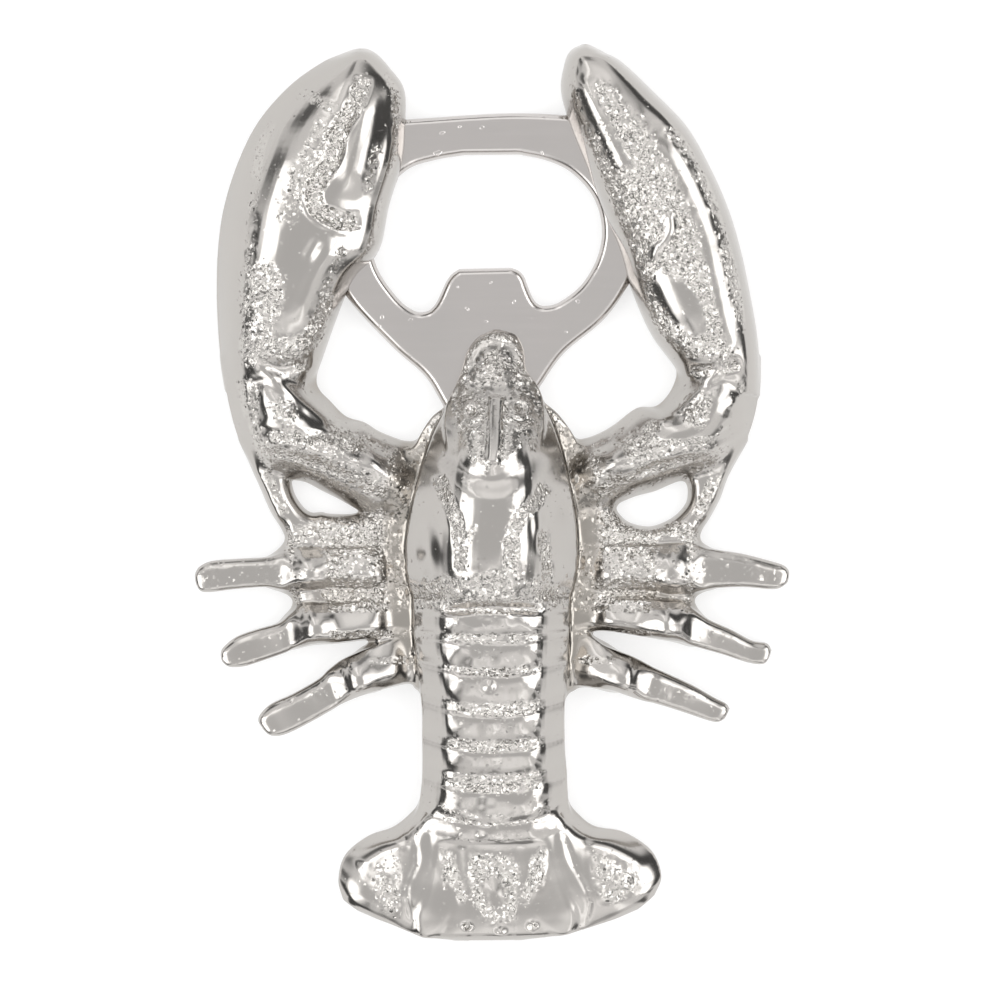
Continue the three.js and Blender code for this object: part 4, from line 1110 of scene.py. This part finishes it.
def make_plate(plate):
    points, triangles, quads = mesh_of(slab(plate, PLATE_BOTTOM, PLATE_TOP, PLATE_EDGE))
    points = relax(points, edge_pairs(triangles, quads), PLATE_ROUNDS)
    insert = placed("opener_plate", points, triangles, quads, plate_metal())
    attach(insert, "root")
    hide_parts("opener_insert")


# ---- Studio ----


FLOOR_REACH = 1.5  # m
FLOOR_GAP = 0.0004  # m under the opener


def floor():
    """A large pale sheet under the opener, turned up to read as white."""
    mesh = bpy.data.meshes.new("studio_floor")
    corners = [(x * FLOOR_REACH, y * FLOOR_REACH, 0) for x, y in ((-1, -1), (1, -1), (1, 1), (-1, 1))]
    mesh.from_pydata(corners, [], [(0, 1, 2, 3)])
    material, n, _ = new_material("studio_floor")
    n.finish(Base_Color=(0.45, 0.45, 0.45, 1.0), Roughness=0.9, Emission_Color=(1.0, 1.0, 1.0, 1.0),
             Emission_Strength=0.6)
    mesh.materials.append(material)
    made = bpy.data.objects.new("studio_floor", mesh)
    made.location.z = LOW.z - FLOOR_GAP
    bpy.context.scene.collection.objects.link(made)


# Softboxes and flags round the opener: (from zenith, to zenith, from azimuth, to azimuth, brightness),
# in degrees, azimuth from +X towards +Y.
STUDIO_PANELS = [
    (61, 84, 143, 192, 0.08),
    (60, 84, 108, 143, 0.14),
    (62, 84, 70, 108, 0.35),
    (60, 84, -60, 70, 0.10),
    (38, 82, 196, 222, 0.08),
    (32, 82, -40, -18, 0.12),
    (24, 60, 44, 66, 0.40),
    (23, 50, 62, 98, 1.5),
    (23, 60, 98, 118, 2.2),
    (23, 55, 116, 190, 3.0),
    (23, 34, 186, 216, 2.4),
    (23, 59, -14, 44, 3.0),
]
STUDIO_SKY = 0.83
STUDIO_FILL = 1.1
STUDIO_BACKDROP = 1.0
PANEL_SOFT = 5.0  # degrees over which a panel's lower and upper edges fade
PANEL_TURN_SOFT = 8.0  # and its other two


def studio():
    world = bpy.data.worlds.new("studio")
    world.use_nodes = True
    bpy.context.scene.world = world
    n = Nodes(world.node_tree)
    direction = n.add("ShaderNodeTexCoord").outputs["Generated"]
    axes = n.add("ShaderNodeSeparateXYZ", inputs={0: direction})
    zenith = n.math("MULTIPLY", n.math("ARCCOSINE", axes.outputs["Z"]), 180 / math.pi)
    azimuth = n.math("MULTIPLY", n.math("ARCTAN2", axes.outputs["Y"], axes.outputs["X"]), 180 / math.pi)
    level = n.ramp(zenith, 14, 24, STUDIO_SKY, STUDIO_FILL)
    for near, far, start, end, brightness in STUDIO_PANELS:
        middle = (start + end) / 2
        turned = n.math("ABSOLUTE", n.math("WRAP", n.math("SUBTRACT", azimuth, middle), 180.0))
        turned.node.inputs[2].default_value = -180.0
        half = (end - start) / 2
        across = n.ramp(turned, half + PANEL_TURN_SOFT, half - PANEL_TURN_SOFT)
        up = n.ramp(zenith, near - PANEL_SOFT, near + PANEL_SOFT)
        down = n.ramp(zenith, far + PANEL_SOFT, far - PANEL_SOFT)
        level = n.mix(n.math("MULTIPLY", n.math("MULTIPLY", across, up), down), level, brightness)
    level = n.mix(n.ramp(zenith, 90, 96), level, STUDIO_BACKDROP)
    level = n.mix(n.add("ShaderNodeLightPath").outputs["Is Camera Ray"], level, STUDIO_BACKDROP)
    shade = n.add("ShaderNodeCombineColor", inputs={0: level, 1: level, 2: level})
    light = n.add("ShaderNodeBackground", inputs={"Color": shade, "Strength": 1.0})
    n.feed(n.add("ShaderNodeOutputWorld").inputs["Surface"], light)


CAMERA_TILT = math.radians(1)
CAMERA_DISTANCE = 1.5
CAMERA_LENS = 307.0
CAMERA_AIM = (0.09, -0.2, 4.0)  # mm


def camera():
    data = bpy.data.cameras.new("camera")
    data.lens = CAMERA_LENS
    data.sensor_width = 36.0
    made = bpy.data.objects.new("camera", data)
    aim = Vector(np.array(CAMERA_AIM) * MM + ORIGIN)
    back = Vector((0, math.sin(CAMERA_TILT), math.cos(CAMERA_TILT)))
    made.location = aim + back * CAMERA_DISTANCE
    made.rotation_mode = "QUATERNION"
    made.rotation_quaternion = Matrix.Rotation(-CAMERA_TILT, 3, "X").to_quaternion()
    bpy.context.scene.collection.objects.link(made)
    bpy.context.scene.camera = made


scene = bpy.context.scene
scene.view_settings.view_transform = "Standard"
scene.view_settings.look = "None"

camera()
studio()
floor()
PLATE_PLAN = plate_plan()
make_plate(PLATE_PLAN)
make_casting(PLATE_PLAN)
